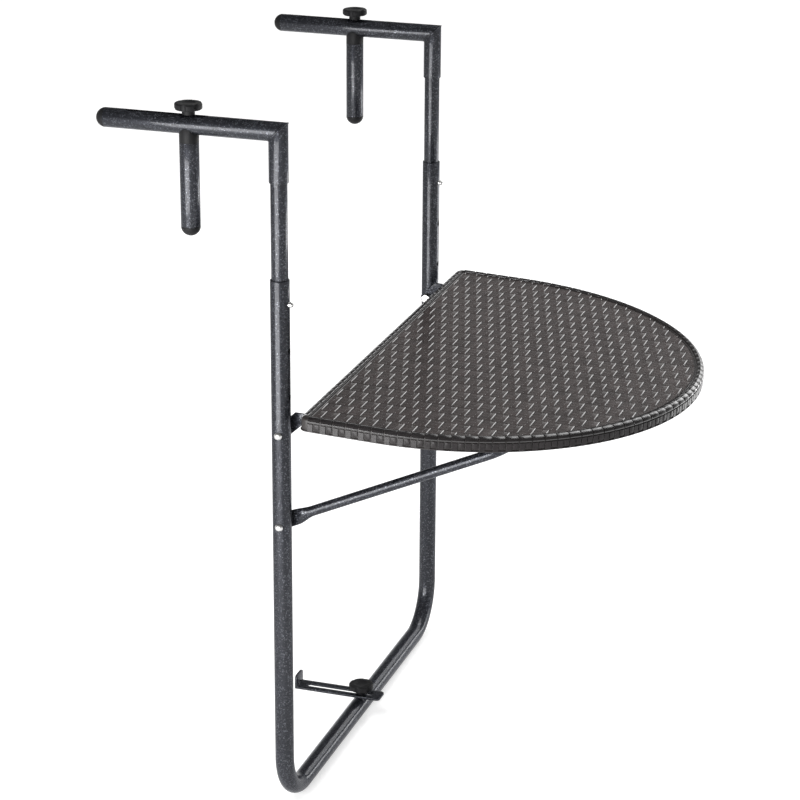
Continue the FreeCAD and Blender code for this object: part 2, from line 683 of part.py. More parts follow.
# The cross bar as seen from the tilted table. The strut's slope follows from its length.
PIVOTS_APART = "(Sizes.strut_drop - Sizes.hinge_drop)"
SEAT_Z = f"({TOP_UNDER} - Sizes.strut_gap - Sizes.strut_dia / 2)"
SEAT_RISE = f"({SEAT_Z} + {PIVOTS_APART} * cos(Sizes.table_fall * 1deg))"
SEAT_Y = (f"(-{PIVOTS_APART} * sin(Sizes.table_fall * 1deg)"
          f" - sqrt(pow(Sizes.strut_reach; 2) - pow({SEAT_RISE}; 2)))")
STRUT_RISE = f"(asin({SEAT_RISE} / Sizes.strut_reach) - Sizes.table_fall * 1deg)"
BOSS_ROWS = ("Sizes.flange_back + 12", "Sizes.bracket_length - 12")
FLANGE_TOP = f"({TOP_UNDER}) - 6.5"
BOSS_X = f"{PLATE_OUT} - Sizes.flange_width / 2 - 2"
CLIP_SCREW_Y = f"{SEAT_Y} + Sizes.clip_foot - 5"
FOOT_TOP = f"{TOP_UNDER} - Sizes.clip_boss"


def make_table_top():
    body = new_body("table_top")
    plan = new_sketch(body, "XY_Plane", "top_plan", RIM_BOTTOM)
    half_round(plan, "0")
    pad(body, plan, "Sizes.rim_height")

    back = -num("Sizes.table_setback")
    round_edges(body, "top_corners", "Sizes.corner_radius",
                lambda edge: edge.BoundBox.ZLength > 1 and edge.BoundBox.YMax > back - 0.1)
    round_edges(body, "top_lip", "Sizes.lip_round",
                lambda edge: level(edge, num("Sizes.table_rise")))

    dish = new_sketch(body, "XY_Plane", "top_dish", "Sizes.table_rise")
    half_round(dish, "Sizes.lip_width")
    pocket(body, dish, "Sizes.lip_height")
    inside = num(HALF_WIDTH) - num("Sizes.lip_width") + 0.1
    round_edges(body, "top_lip_foot", "Sizes.lip_foot",
                lambda edge: level(edge, num("Sizes.table_rise - Sizes.lip_height"))
                and edge.BoundBox.XMax < inside)

    hollow = new_sketch(body, "XY_Plane", "top_hollow", RIM_BOTTOM)
    half_round(hollow, "Sizes.rim_wall")
    pocket(body, hollow, f"{TOP_UNDER} - ({RIM_BOTTOM})", flip=True)

    # Ribs keep clear of the cross bar's path and of the bracket flanges.
    band_back = f"{SEAT_Y} + Sizes.clip_foot + 4"
    band_front = f"{SEAT_Y} - 26"
    ribs = new_sketch(body, "XY_Plane", "top_ribs", TOP_UNDER)
    inner_back = "-Sizes.table_setback - Sizes.rim_wall / 2"
    half_rib = "Sizes.rib_thick / 2"
    for step in range(-3, 4):
        x = f"{step} * Sizes.rib_pitch"
        rectangle(ribs, f"{x} - {half_rib}", band_back, f"{x} + {half_rib}", inner_back)
    for step in range(-3, 4):
        x = f"{step} * Sizes.rib_pitch"
        front = f"{ROUND_CENTRE} - sqrt(pow({HALF_WIDTH} - Sizes.rim_wall / 2; 2) - pow({x}; 2))"
        if num(front) < num(band_front) - 5:
            rectangle(ribs, f"{x} - {half_rib}", front, f"{x} + {half_rib}", band_front)
    pad(body, ribs, "Sizes.rib_height", flip=True)

    cross = new_sketch(body, "XY_Plane", "top_cross_ribs", TOP_UNDER)
    for y in (f"{SEAT_Y} + Sizes.clip_foot + 5", f"{SEAT_Y} + Sizes.clip_foot + 5 + Sizes.rib_pitch",
              f"{SEAT_Y} - 26 - Sizes.rib_thick", f"{SEAT_Y} - 26 - Sizes.rib_pitch"):
        reach = rib_reach(y)
        rectangle(cross, times(-1, reach), f"{y} - {half_rib}", reach, f"{y} + {half_rib}")
    pad(body, cross, "Sizes.rib_height - 1", flip=True)

    bosses = new_sketch(body, "XY_Plane", "top_bosses", TOP_UNDER)
    for side, sign in SIDES:
        for row in BOSS_ROWS:
            circle(bosses, times(sign, BOSS_X), times(-1, row), "Sizes.boss_dia / 2")
    pad(body, bosses, f"{TOP_UNDER} - ({FLANGE_TOP})", flip=True)
    clip_bosses = new_sketch(body, "XY_Plane", "top_clip_bosses", TOP_UNDER)
    for side, sign in SIDES:
        circle(clip_bosses, times(sign, "Sizes.clip_at"), CLIP_SCREW_Y, "Sizes.boss_dia / 2")
    pad(body, clip_bosses, "Sizes.clip_boss", flip=True)

    pilots = new_sketch(body, "XY_Plane", "top_pilots", FLANGE_TOP)
    for side, sign in SIDES:
        for row in BOSS_ROWS:
            circle(pilots, times(sign, BOSS_X), times(-1, row),
                   "Sizes.screw_dia / 2 + Sizes.thread_gap")
    pocket(body, pilots, "Sizes.screw_length - Sizes.strap_thick + 0.5", flip=True)
    clip_pilots = new_sketch(body, "XY_Plane", "top_clip_pilots", FOOT_TOP)
    for side, sign in SIDES:
        circle(clip_pilots, times(sign, "Sizes.clip_at"), CLIP_SCREW_Y,
               "Sizes.screw_dia / 2 + Sizes.thread_gap")
    pocket(body, clip_pilots, "Sizes.screw_length - Sizes.clip_wall + 0.5", flip=True)

    notches = new_sketch(body, "XZ_Plane", "top_notches", "Sizes.table_setback - 5")
    for side, sign in SIDES:
        inner = f"{PLATE_OUT} - Sizes.strap_thick - Sizes.face_gap"
        outer = f"{PLATE_OUT} + Sizes.face_gap"
        ends = sorted((times(sign, inner), times(sign, outer)), key=num)
        rectangle(notches, ends[0], f"{RIM_BOTTOM} - 1", ends[1], f"{FLANGE_TOP} + Sizes.face_gap")
    pocket(body, notches, "10 + Sizes.rim_wall", flip=True)
    on_table(body)
    return body


# Hinge brackets: a strap on the inner face of each post, folded into a flange under the top

def make_hinge_bracket(side, sign):
    name = f"{side}_hinge_bracket"
    body = new_body(name)
    outer, inner = PLATE_OUT, f"{PLATE_OUT} - Sizes.strap_thick"
    shift = times(sign, outer) if sign < 0 else inner
    strap = new_sketch(body, "YZ_Plane", f"{name}_strap", shift)
    half = "Sizes.strap_width / 2"
    lean = f"({half} / sqrt(2))"
    front = "-Sizes.bracket_length"
    top, bottom = FLANGE_TOP, f"{RIM_BOTTOM} + Sizes.face_gap"
    climb = f"({top} - {lean})"
    outline(strap, [(f"-{lean}", f"-{lean}", "tangent"), (lean, lean),
                    (f"{lean} - {climb}", top), (front, top), (front, bottom),
                    (f"-({bottom} + 2 * {lean})", bottom)])
    pad(body, strap, "Sizes.strap_thick")
    flange = new_sketch(body, "XY_Plane", f"{name}_flange", FLANGE_TOP)
    ends = sorted((times(sign, f"{outer} - Sizes.flange_width"), times(sign, outer)), key=num)
    rectangle(flange, ends[0], front, ends[1], "-Sizes.flange_back")
    pad(body, flange, "Sizes.strap_thick", flip=True)
    eye = new_sketch(body, "YZ_Plane", f"{name}_eye")
    circle(eye, "0", "0", BOLT_HOLE)
    pocket(body, eye, side="Symmetric")
    holes = new_sketch(body, "XY_Plane", f"{name}_holes", f"{FLANGE_TOP} + 1")
    for row in BOSS_ROWS:
        circle(holes, times(sign, BOSS_X), times(-1, row), "Sizes.screw_dia / 2 + 0.2")
    pocket(body, holes, "Sizes.strap_thick + 2")
    on_table(body)
    return body


def make_screw(name, x, y, seat):
    # A pan head screw that points up into the table top.
    body = new_body(name)
    profile = new_sketch(body, "XZ_Plane", f"{name}_profile")
    head, shank = "Sizes.screw_head_dia / 2", "Sizes.screw_dia / 2"
    outline(profile, [("0", "-Sizes.screw_head"), (f"{head} - 1", "-Sizes.screw_head"),
                      (head, "-Sizes.screw_head + 1"), (head, "0"), (shank, "0"),
                      (shank, "Sizes.screw_length - 2"), ("0.5", "Sizes.screw_length"),
                      ("0", "Sizes.screw_length")])
    revolve(body, profile)
    screw_y = f"({y}) * cos(Sizes.table_fall * 1deg) - ({seat}) * sin(Sizes.table_fall * 1deg)"
    screw_z = f"({y}) * sin(Sizes.table_fall * 1deg) + ({seat}) * cos(Sizes.table_fall * 1deg)"
    place(body, x, screw_y, f"{screw_z} - Sizes.hinge_drop", Vector(1, 0, 0), "Sizes.table_fall")
    return body


# Strut clips: moulded hooks under the top that hold the cross bar

def make_strut_clip(side, sign):
    name = f"{side}_strut_clip"
    body = new_body(name)
    half = "Sizes.clip_width / 2"
    shift = f"{times(sign, 'Sizes.clip_at')} - {half}"
    bore = "(Sizes.strut_dia / 2 + Sizes.face_gap)"
    outer = f"({bore} + Sizes.clip_wall)"
    block = new_sketch(body, "YZ_Plane", f"{name}_block", shift)
    foot = f"{SEAT_Y} + Sizes.clip_foot"
    low = f"{SEAT_Z} - sqrt(pow({bore}; 2) - pow(Sizes.clip_mouth / 2; 2))"
    outline(block, [(f"{SEAT_Y} - {outer}", TOP_UNDER), (f"{SEAT_Y} - {outer}", low),
                    (f"{SEAT_Y} + {outer}", low),
                    (f"{SEAT_Y} + {outer}", f"{FOOT_TOP} - Sizes.clip_wall"),
                    (foot, f"{FOOT_TOP} - Sizes.clip_wall"), (foot, FOOT_TOP),
                    (f"{SEAT_Y} + {outer}", FOOT_TOP), (f"{SEAT_Y} + {outer}", TOP_UNDER)])
    pad(body, block, "Sizes.clip_width")
    bed = new_sketch(body, "YZ_Plane", f"{name}_bed", shift)
    circle(bed, SEAT_Y, SEAT_Z, bore)
    pocket(body, bed, "Sizes.clip_width", flip=True)
    hole = new_sketch(body, "XY_Plane", f"{name}_hole", f"{FOOT_TOP} + 1")
    circle(hole, times(sign, "Sizes.clip_at"), CLIP_SCREW_Y, "Sizes.screw_dia / 2 + 0.2")
    pocket(body, hole, "Sizes.clip_wall + 2")
    on_table(body)
    return body


def make_table_fittings():
    for side, sign in SIDES:
        make_hinge_bracket(side, sign)
        make_strut_clip(side, sign)
    screws = []
    for side, sign in SIDES:
        for number, row in enumerate(BOSS_ROWS, start=1):
            seat = f"{FLANGE_TOP} - Sizes.strap_thick"
            screws.append(make_screw(f"{side}_bracket_screw_{number}", times(sign, BOSS_X),
                                     times(-1, row), seat))
    group("bracket_screws", screws)
    group("clip_screws", [make_screw(f"{side}_clip_screw", times(sign, "Sizes.clip_at"),
                                     CLIP_SCREW_Y, f"{FOOT_TOP} - Sizes.clip_wall")
                          for side, sign in SIDES])


# Strut: a tube bent into a U, with both ends pressed flat for their bolts

def make_strut():
    body = new_body("strut_bracket")
    start = "-Sizes.flat_length - Sizes.flare_length"
    path = new_sketch(body, "XY_Plane", "strut_path")
    bent_tube_path(path, LEG_X, start, "-Sizes.strut_reach", "Sizes.strut_bend")
    section = new_sketch(body, "XZ_Plane", "strut_section", times(-1, start))
    circle(section, times(-1, LEG_X), "0", "Sizes.strut_dia / 2")
    circle(section, times(-1, LEG_X), "0", "Sizes.strut_dia / 2 - Sizes.strut_wall")
    pipe(body, section, path)
    for side, sign in SIDES:
        inner, outer = f"{PLATE_OUT} - Sizes.flat_thick", PLATE_OUT
        ends = sorted((times(sign, inner), times(sign, outer)), key=num)
        wide = new_sketch(body, "XZ_Plane", f"strut_{side}_round", times(-1, start))
        circle(wide, times(sign, LEG_X), "0", "Sizes.strut_dia / 2")
        flat = new_sketch(body, "XZ_Plane", f"strut_{side}_flat", "Sizes.flat_length")
        upright_slot(flat, f"({ends[0]} + {ends[1]}) / 2", "-Sizes.flat_width / 2",
                     "Sizes.flat_width / 2", "Sizes.flat_thick / 2")
        flare = feature(body, "AdditiveLoft", f"strut_{side}_flare", wide)
        flare.Sections = [(flat, [""])]
        tab = new_sketch(body, "YZ_Plane", f"strut_{side}_tab", ends[0])
        half = "Sizes.flat_width / 2"
        outline(tab, [("0", half), ("-Sizes.flat_length", half),
                      ("-Sizes.flat_length", f"-{half}"), ("0", f"-{half}", "tangent")])
        pad(body, tab, "Sizes.flat_thick")
    eyes = new_sketch(body, "YZ_Plane", "strut_eyes")
    circle(eyes, "0", "0", BOLT_HOLE)
    pocket(body, eyes, side="Symmetric")
    place(body, "0", "0", "-Sizes.strut_drop", Vector(1, 0, 0), f"-{STRUT_RISE}")
    return body


# Stabiliser: a slotted bar with an upturned end, held on the bottom tube by a star knob

def make_stabiliser():
    body = new_body("stabiliser_bar")
    side_view = new_sketch(body, "YZ_Plane", "bar_side_view")
    top = f"-Sizes.bottom_drop + {TUBE_R} + Sizes.bar_upturn"
    outline(side_view, [("-Sizes.bar_front", BAR_UNDER), ("Sizes.bar_back", BAR_UNDER),
                        ("Sizes.bar_back", top), ("Sizes.bar_back - Sizes.bar_thick", top),
                        ("Sizes.bar_back - Sizes.bar_thick", BAR_TOP),
                        ("-Sizes.bar_front", BAR_TOP)])
    pad(body, side_view, "Sizes.bar_width", side="Symmetric")
    front, high = -num("Sizes.bar_front"), num(top)
    round_edges(body, "bar_corners", "Sizes.bar_round",
                lambda edge: edge.BoundBox.YMax < front + 0.1 and edge.BoundBox.ZLength > 1
                or edge.BoundBox.ZMin > high - 0.1 and edge.BoundBox.YLength > 1)
    slot = new_sketch(body, "XY_Plane", "bar_slot", f"{BAR_TOP} + 1")
    upright_slot(slot, "0", "-Sizes.bar_front + Sizes.bar_slot_end",
                 "Sizes.bar_back - Sizes.bar_slot_end", "Sizes.slot_width / 2")
    pocket(body, slot, "Sizes.bar_thick + 2")

    insert = new_body("stabiliser_insert")
    profile = new_sketch(insert, "XZ_Plane", "insert_profile")
    stud = "Sizes.stud_dia / 2 + Sizes.thread_gap"
    barrel, flange = "Sizes.insert_dia / 2", "Sizes.insert_dia / 2 + 2"
    outline(profile, [(stud, "-Sizes.insert_length"), (barrel, "-Sizes.insert_length"),
                      (barrel, "0"), (flange, "0"), (flange, "Sizes.insert_flange"),
                      (stud, "Sizes.insert_flange")])
    revolve(insert, profile)
    place(insert, "0", "0", f"-Sizes.bottom_drop + {TUBE_R}")

    seat = f"{BAR_TOP} + Sizes.face_gap"
    knob = make_star_knob("stabiliser_knob")
    place(knob, "0", "0", seat)
    stud_length = ("Sizes.stud_in_knob + 2 * Sizes.face_gap + Sizes.bar_thick"
                   " + Sizes.insert_flange + Sizes.insert_length")
    rod = make_stud("stabiliser_stud", stud_length)
    place(rod, "0", "0", seat)


make_lower_frame()
make_pivots()
for side, sign in SIDES:
    make_hook(side, sign)
    make_finger(side, sign)
make_table_top()
make_table_fittings()
make_strut()
make_stabiliser()
doc.recompute()

# Every object has to be sound before anything is written.
for obj in doc.Objects:
    if "Invalid" in obj.State or "Error" in obj.State:
        raise RuntimeError(f"{obj.Name} failed: {obj.State}")
for cut in CUTS:
    if cut.BaseFeature.Shape.Volume - cut.Shape.Volume < 0.5:
        raise RuntimeError(f"{cut.Name} removes nothing")

grouped = {link.Name for obj in doc.Objects if obj.TypeId == "Part::Compound" for link in obj.Links}
subparts = [obj for obj in doc.Objects
            if obj.TypeId in ("PartDesign::Body", "Part::Compound") and obj.Name not in grouped]
os.makedirs("parts", exist_ok=True)
for part in subparts:
    shape = part.Shape
    if shape.isNull() or not shape.isValid():
        raise RuntimeError(f"{part.Label} has no sound shape")
    shape.exportStep(os.path.join("parts", f"{part.Label}.step"))
    box = shape.BoundBox
    print(f"{part.Label:24s} solids {len(shape.Solids)}  volume {shape.Volume / 1000:9.2f} cm3"
          f"  z {box.ZMin:8.1f} to {box.ZMax:8.1f}")
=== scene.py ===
import json
import math

import bmesh
import bpy
from mathutils import Euler, Matrix, Vector, noise


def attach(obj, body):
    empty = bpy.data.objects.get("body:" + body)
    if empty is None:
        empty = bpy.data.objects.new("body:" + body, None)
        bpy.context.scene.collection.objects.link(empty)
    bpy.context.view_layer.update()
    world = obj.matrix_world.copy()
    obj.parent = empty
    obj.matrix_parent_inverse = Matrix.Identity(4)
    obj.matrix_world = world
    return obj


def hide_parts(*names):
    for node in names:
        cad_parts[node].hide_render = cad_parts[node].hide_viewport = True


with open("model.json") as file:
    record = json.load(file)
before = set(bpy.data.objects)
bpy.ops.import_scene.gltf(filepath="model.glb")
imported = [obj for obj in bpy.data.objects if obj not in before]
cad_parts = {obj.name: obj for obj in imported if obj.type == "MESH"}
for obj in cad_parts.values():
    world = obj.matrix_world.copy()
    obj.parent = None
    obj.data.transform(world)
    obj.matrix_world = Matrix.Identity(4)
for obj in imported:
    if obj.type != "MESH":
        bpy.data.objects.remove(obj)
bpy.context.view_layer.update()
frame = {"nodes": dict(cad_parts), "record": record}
record = frame["record"]
bodyOfNode = {n: b for b, members in record["behaviour"]["bodies"].items() for n in members}
slotOfNode = {s["node"]: s["material_slot"] for s in record["subparts"]}
sides = (("left", -1), ("right", 1))
mm = 0.001
mergeGap = 0.001 * mm
print("frame loaded:", len(frame["nodes"]), "nodes")


# Objects and meshes

def addObject(name, data):
    made = bpy.data.objects.new(name, data)
    bpy.context.scene.collection.objects.link(made)
    return made


def meshOf(bm, name):
    mesh = bpy.data.meshes.new(name)
    bm.to_mesh(mesh)
    bm.free()
    return mesh


def outward(azimuth, elevation):
    turn, rise = math.radians(azimuth), math.radians(elevation)
    return Vector((math.cos(turn) * math.cos(rise), math.sin(turn) * math.cos(rise), math.sin(rise)))


# Camera: the photograph's viewing angle. Azimuth, elevation and roll in degrees.
photoView = {"azimuth": -71.80, "elevation": 19.79, "roll": 0.35, "distance": 3.1673,
             "target": (0, -0.0499, -0.3843), "lens": 116.75, "sensor": 36, "farClip": 50}


def placeCamera(view):
    data = bpy.data.cameras.new("photoCamera")
    data.lens = view["lens"]
    data.sensor_width = view["sensor"]
    data.clip_end = view["farClip"]
    camera = addObject("photoCamera", data)
    turn = Euler((math.radians(90 - view["elevation"]), 0, math.radians(view["azimuth"])))
    roll = Matrix.Rotation(math.radians(view["roll"]), 4, "Z")
    matrix = turn.to_matrix().to_4x4() @ roll
    back = matrix.to_3x3() @ Vector((0, 0, 1))
    matrix.translation = Vector(view["target"]) + back * view["distance"]
    camera.matrix_world = matrix
    bpy.context.scene.camera = camera


placeCamera(photoView)


# Shader helpers

def addNode(tree, kind, inputs=None, **settings):
    node = tree.nodes.new(kind)
    for name, value in settings.items():
        setattr(node, name, value)
    for name, value in (inputs or {}).items():
        if isinstance(value, bpy.types.NodeSocket):
            tree.links.new(value, node.inputs[name])
        else:
            node.inputs[name].default_value = value
    return node


def mathNode(tree, operation, first, second=0.0, clamp=False):
    return addNode(tree, "ShaderNodeMath", {0: first, 1: second}, operation=operation,
                   use_clamp=clamp).outputs[0]


def scaledPlus(tree, value, factor, base):
    return addNode(tree, "ShaderNodeMath", {0: value, 1: factor, 2: base},
                   operation="MULTIPLY_ADD").outputs[0]


def tinted(color, factor=1):
    return (color[0] * factor, color[1] * factor, color[2] * factor, 1)


def mixColor(tree, factor, first, second, blend="MIX"):
    node = addNode(tree, "ShaderNodeMix", {"Factor": factor}, data_type="RGBA", blend_type=blend)
    for socket, value in ((node.inputs[6], first), (node.inputs[7], second)):
        if isinstance(value, bpy.types.NodeSocket):
            tree.links.new(value, socket)
        else:
            socket.default_value = value
    return node.outputs[2]


def ramp(tree, value, low, high):
    return addNode(tree, "ShaderNodeMapRange", {0: value, 1: low, 2: high, 3: 0.0, 4: 1.0},
                   interpolation_type="SMOOTHSTEP").outputs[0]


def startGroup(name, inputs, outputs):
    group = bpy.data.node_groups.new(name, "ShaderNodeTree")
    for label, value in inputs:
        kind = "NodeSocketColor" if isinstance(value, tuple) else "NodeSocketFloat"
        socket = group.interface.new_socket(label, in_out="INPUT", socket_type=kind)
        socket.default_value = value
    for label, kind in outputs:
        group.interface.new_socket(label, in_out="OUTPUT", socket_type=kind)
    return group, group.nodes.new("NodeGroupInput"), group.nodes.new("NodeGroupOutput")


def useGroup(tree, group, values):
    node = tree.nodes.new("ShaderNodeGroup")
    node.node_tree = group
    for name, value in values.items():
        node.inputs[name].default_value = value
    return node


def startMaterial(name):
    material = bpy.data.materials.new(name)
    material.use_nodes = True
    tree = material.node_tree
    return material, tree, tree.nodes["Principled BSDF"]


def setInputs(shader, values):
    for name, value in values.items():
        shader.inputs[name].default_value = value


def joinBump(tree, shader, height, strength, distance):
    bump = addNode(tree, "ShaderNodeBump", {"Height": height, "Strength": strength,
                                            "Distance": distance})
    tree.links.new(bump.outputs["Normal"], shader.inputs["Normal"])


# Shared effects

def buildHammerGroup():
    # Hammered paint: shallow dimples with bright flecks between them.
    wobbleScale, wobbleSize = 350.0, 0.0016
    chosenTones, bodyWidth = (0.62, 0.95), (0.02, 0.16)
    grainScale, grainShare = 1500.0, 0.25
    group, start, end = startGroup(
        "hammeredPaint",
        [("Cell Scale", 620.0), ("Fleck Amount", 0.35), ("Cloud Scale", 18.0)],
        [("Fleck", "NodeSocketFloat"), ("Height", "NodeSocketFloat"), ("Cloud", "NodeSocketFloat")])
    place = addNode(group, "ShaderNodeTexCoord").outputs["Object"]
    wobble = addNode(group, "ShaderNodeTexNoise",
                     {"Vector": place, "Scale": wobbleScale, "Detail": 2.0})
    shift = addNode(group, "ShaderNodeVectorMath", {0: wobble.outputs["Color"], 1: (0.5, 0.5, 0.5)},
                    operation="SUBTRACT").outputs[0]
    shift = addNode(group, "ShaderNodeVectorMath", {0: shift, "Scale": wobbleSize},
                    operation="SCALE").outputs[0]
    warped = addNode(group, "ShaderNodeVectorMath", {0: place, 1: shift}, operation="ADD").outputs[0]
    layout = {"Vector": warped, "Scale": start.outputs["Cell Scale"]}
    cells = addNode(group, "ShaderNodeTexVoronoi", layout)
    edges = addNode(group, "ShaderNodeTexVoronoi", layout, feature="DISTANCE_TO_EDGE")
    tone = addNode(group, "ShaderNodeSeparateColor", {0: cells.outputs["Color"]}).outputs[0]
    chosen = ramp(group, tone, *chosenTones)
    body = ramp(group, edges.outputs["Distance"], *bodyWidth)
    fleck = mathNode(group, "MULTIPLY", chosen, body)
    fleck = mathNode(group, "MULTIPLY", fleck, start.outputs["Fleck Amount"], clamp=True)
    grain = addNode(group, "ShaderNodeTexNoise", {"Vector": place, "Scale": grainScale, "Detail": 2.0})
    height = mathNode(group, "MULTIPLY", body, tone)
    height = mathNode(group, "ADD", height, mathNode(group, "MULTIPLY", grain.outputs[0], grainShare))
    cloud = addNode(group, "ShaderNodeTexNoise",
                    {"Vector": place, "Scale": start.outputs["Cloud Scale"], "Detail": 3.0})
    group.links.new(fleck, end.inputs["Fleck"])
    group.links.new(height, end.inputs["Height"])
    group.links.new(cloud.outputs[0], end.inputs["Cloud"])
    return group


def buildGrainGroup():
    # Moulded grain: fine pits, slow tone changes and sparse light scuffs.
    slowScale, scuffTones = 14.0, (0.62, 0.74)
    group, start, end = startGroup(
        "mouldedGrain",
        [("Grain Scale", 1400.0), ("Scuff Scale", 60.0), ("Scuff Amount", 0.3)],
        [("Tone", "NodeSocketFloat"), ("Scuff", "NodeSocketFloat"), ("Height", "NodeSocketFloat")])
    place = addNode(group, "ShaderNodeTexCoord").outputs["Object"]
    fine = addNode(group, "ShaderNodeTexNoise",
                   {"Vector": place, "Scale": start.outputs["Grain Scale"], "Detail": 3.0})
    slow = addNode(group, "ShaderNodeTexNoise", {"Vector": place, "Scale": slowScale, "Detail": 4.0})
    patch = addNode(group, "ShaderNodeTexNoise",
                    {"Vector": place, "Scale": start.outputs["Scuff Scale"], "Detail": 6.0,
                     "Roughness": 0.7, "Distortion": 1.5})
    scuff = ramp(group, patch.outputs[0], *scuffTones)
    scuff = mathNode(group, "MULTIPLY", scuff, start.outputs["Scuff Amount"])
    group.links.new(slow.outputs[0], end.inputs["Tone"])
    group.links.new(scuff, end.inputs["Scuff"])
    group.links.new(fine.outputs[0], end.inputs["Height"])
    return group


def buildBrushGroup():
    # Fine drawn lines along one axis, for plated steel and for cane.
    toneScale = 45.0
    group, start, end = startGroup(
        "drawnLines",
        [("Across Scale", 1500.0), ("Along Scale", 60.0), ("Turn", 0.0)],
        [("Lines", "NodeSocketFloat"), ("Tone", "NodeSocketFloat")])
    place = addNode(group, "ShaderNodeTexCoord").outputs["Object"]
    turned = addNode(group, "ShaderNodeVectorRotate",
                     {"Vector": place, "Angle": start.outputs["Turn"]},
                     rotation_type="Z_AXIS").outputs[0]
    along, across = start.outputs["Along Scale"], start.outputs["Across Scale"]
    scale = addNode(group, "ShaderNodeCombineXYZ", {"X": along, "Y": across, "Z": across}).outputs[0]
    stretched = addNode(group, "ShaderNodeVectorMath", {0: turned, 1: scale},
                        operation="MULTIPLY").outputs[0]
    lines = addNode(group, "ShaderNodeTexNoise", {"Vector": stretched, "Scale": 1.0, "Detail": 3.0})
    tone = addNode(group, "ShaderNodeTexNoise", {"Vector": place, "Scale": toneScale, "Detail": 4.0})
    group.links.new(lines.outputs[0], end.inputs["Lines"])
    group.links.new(tone.outputs[0], end.inputs["Tone"])
    return group


def buildWearGroup():
    # Edge wear: where the rounded normal leaves the true one, broken up by noise.
    matchRange, patchScale, patchTones = (0.995, 0.90), 220.0, (0.42, 0.62)
    group, start, end = startGroup("edgeWear", [("Width", 0.0008), ("Amount", 0.5)],
                                   [("Wear", "NodeSocketFloat")])
    place = addNode(group, "ShaderNodeTexCoord").outputs["Object"]
    soft = addNode(group, "ShaderNodeBevel", {"Radius": start.outputs["Width"]}, samples=4)
    true = addNode(group, "ShaderNodeNewGeometry")
    match = addNode(group, "ShaderNodeVectorMath", {0: soft.outputs[0], 1: true.outputs["Normal"]},
                    operation="DOT_PRODUCT").outputs["Value"]
    edge = addNode(group, "ShaderNodeMapRange", {0: match, 1: matchRange[0], 2: matchRange[1],
                                                 3: 0.0, 4: 1.0}).outputs[0]
    patch = addNode(group, "ShaderNodeTexNoise", {"Vector": place, "Scale": patchScale, "Detail": 5.0})
    worn = mathNode(group, "MULTIPLY", edge, ramp(group, patch.outputs[0], *patchTones))
    worn = mathNode(group, "MULTIPLY", worn, start.outputs["Amount"], clamp=True)
    group.links.new(worn, end.inputs["Wear"])
    return group


wearGroup = buildWearGroup()
hammerGroup = buildHammerGroup()
grainGroup = buildGrainGroup()
brushGroup = buildBrushGroup()


# Finishes

# Numbers shared by a finish. Metal and roughness are a factor and what is added to it, tones is a
# range, and tints multiply a colour.
paintLook = {"edgeTint": (0.4, 0.41, 0.44), "coat": 0.35, "coatRoughness": 0.09, "cloudTint": 1.5,
             "scuffScale": 90.0, "scuff": 0.15, "wearWidth": 0.7 * mm, "wear": 0.5,
             "metal": (0.1, 0.8), "roughness": (0.14, 0.22), "bump": 0.8}
plasticLook = {"scuff": 0.35, "scuffTint": 2, "roughen": 0.2, "bump": 0.3}
caneLook = {"across": 1300.0, "along": 70.0, "grainScale": 1100.0, "scuffScale": 40.0, "scuff": 0.22,
            "scuffTint": 1.8, "tones": (0.12, 0.42), "roughen": 0.12, "grainShare": 0.5,
            "bump": 0.25, "depth": 0.2 * mm}
steelLook = {"across": 2500.0, "along": 300.0, "grainScale": 2200.0, "scuff": 0.4, "scuffTint": 0.5,
             "roughen": 0.2, "bump": 0.15, "depth": 0.1 * mm}


def makePaint(name, dark, light, cellScale, relief, look=paintLook):
    # Hammered metal paint: the colour lies mostly in its metal flakes, under a thin clear coat.
    material, tree, shader = startMaterial(name)
    setInputs(shader, {"Specular Tint": tinted(look["edgeTint"]), "Coat Weight": look["coat"],
                       "Coat Roughness": look["coatRoughness"]})
    hammer = useGroup(tree, hammerGroup, {"Cell Scale": cellScale, "Fleck Amount": 1.0})
    grain = useGroup(tree, grainGroup, {"Scuff Scale": look["scuffScale"],
                                        "Scuff Amount": look["scuff"]})
    wear = useGroup(tree, wearGroup, {"Width": look["wearWidth"], "Amount": look["wear"]})
    color = mixColor(tree, hammer.outputs["Cloud"], tinted(dark), tinted(dark, look["cloudTint"]))
    for share in (hammer.outputs["Fleck"], grain.outputs["Scuff"], wear.outputs["Wear"]):
        color = mixColor(tree, share, color, tinted(light))
    tree.links.new(color, shader.inputs["Base Color"])
    metal = scaledPlus(tree, hammer.outputs["Fleck"], *look["metal"])
    tree.links.new(metal, shader.inputs["Metallic"])
    rough = scaledPlus(tree, hammer.outputs["Cloud"], *look["roughness"])
    tree.links.new(rough, shader.inputs["Roughness"])
    joinBump(tree, shader, hammer.outputs["Height"], look["bump"], relief)
    return material


def makePlastic(name, dark, light, roughness, grainScale, depth, gloss=0.5, look=plasticLook):
    material, tree, shader = startMaterial(name)
    setInputs(shader, {"Specular IOR Level": gloss})
    grain = useGroup(tree, grainGroup, {"Grain Scale": grainScale, "Scuff Amount": look["scuff"]})
    color = mixColor(tree, grain.outputs["Tone"], tinted(dark), tinted(light))
    color = mixColor(tree, grain.outputs["Scuff"], color, tinted(light, look["scuffTint"]))
    tree.links.new(color, shader.inputs["Base Color"])
    rough = scaledPlus(tree, grain.outputs["Tone"], look["roughen"], roughness)
    tree.links.new(rough, shader.inputs["Roughness"])
    joinBump(tree, shader, grain.outputs["Height"], look["bump"], depth)
    return material


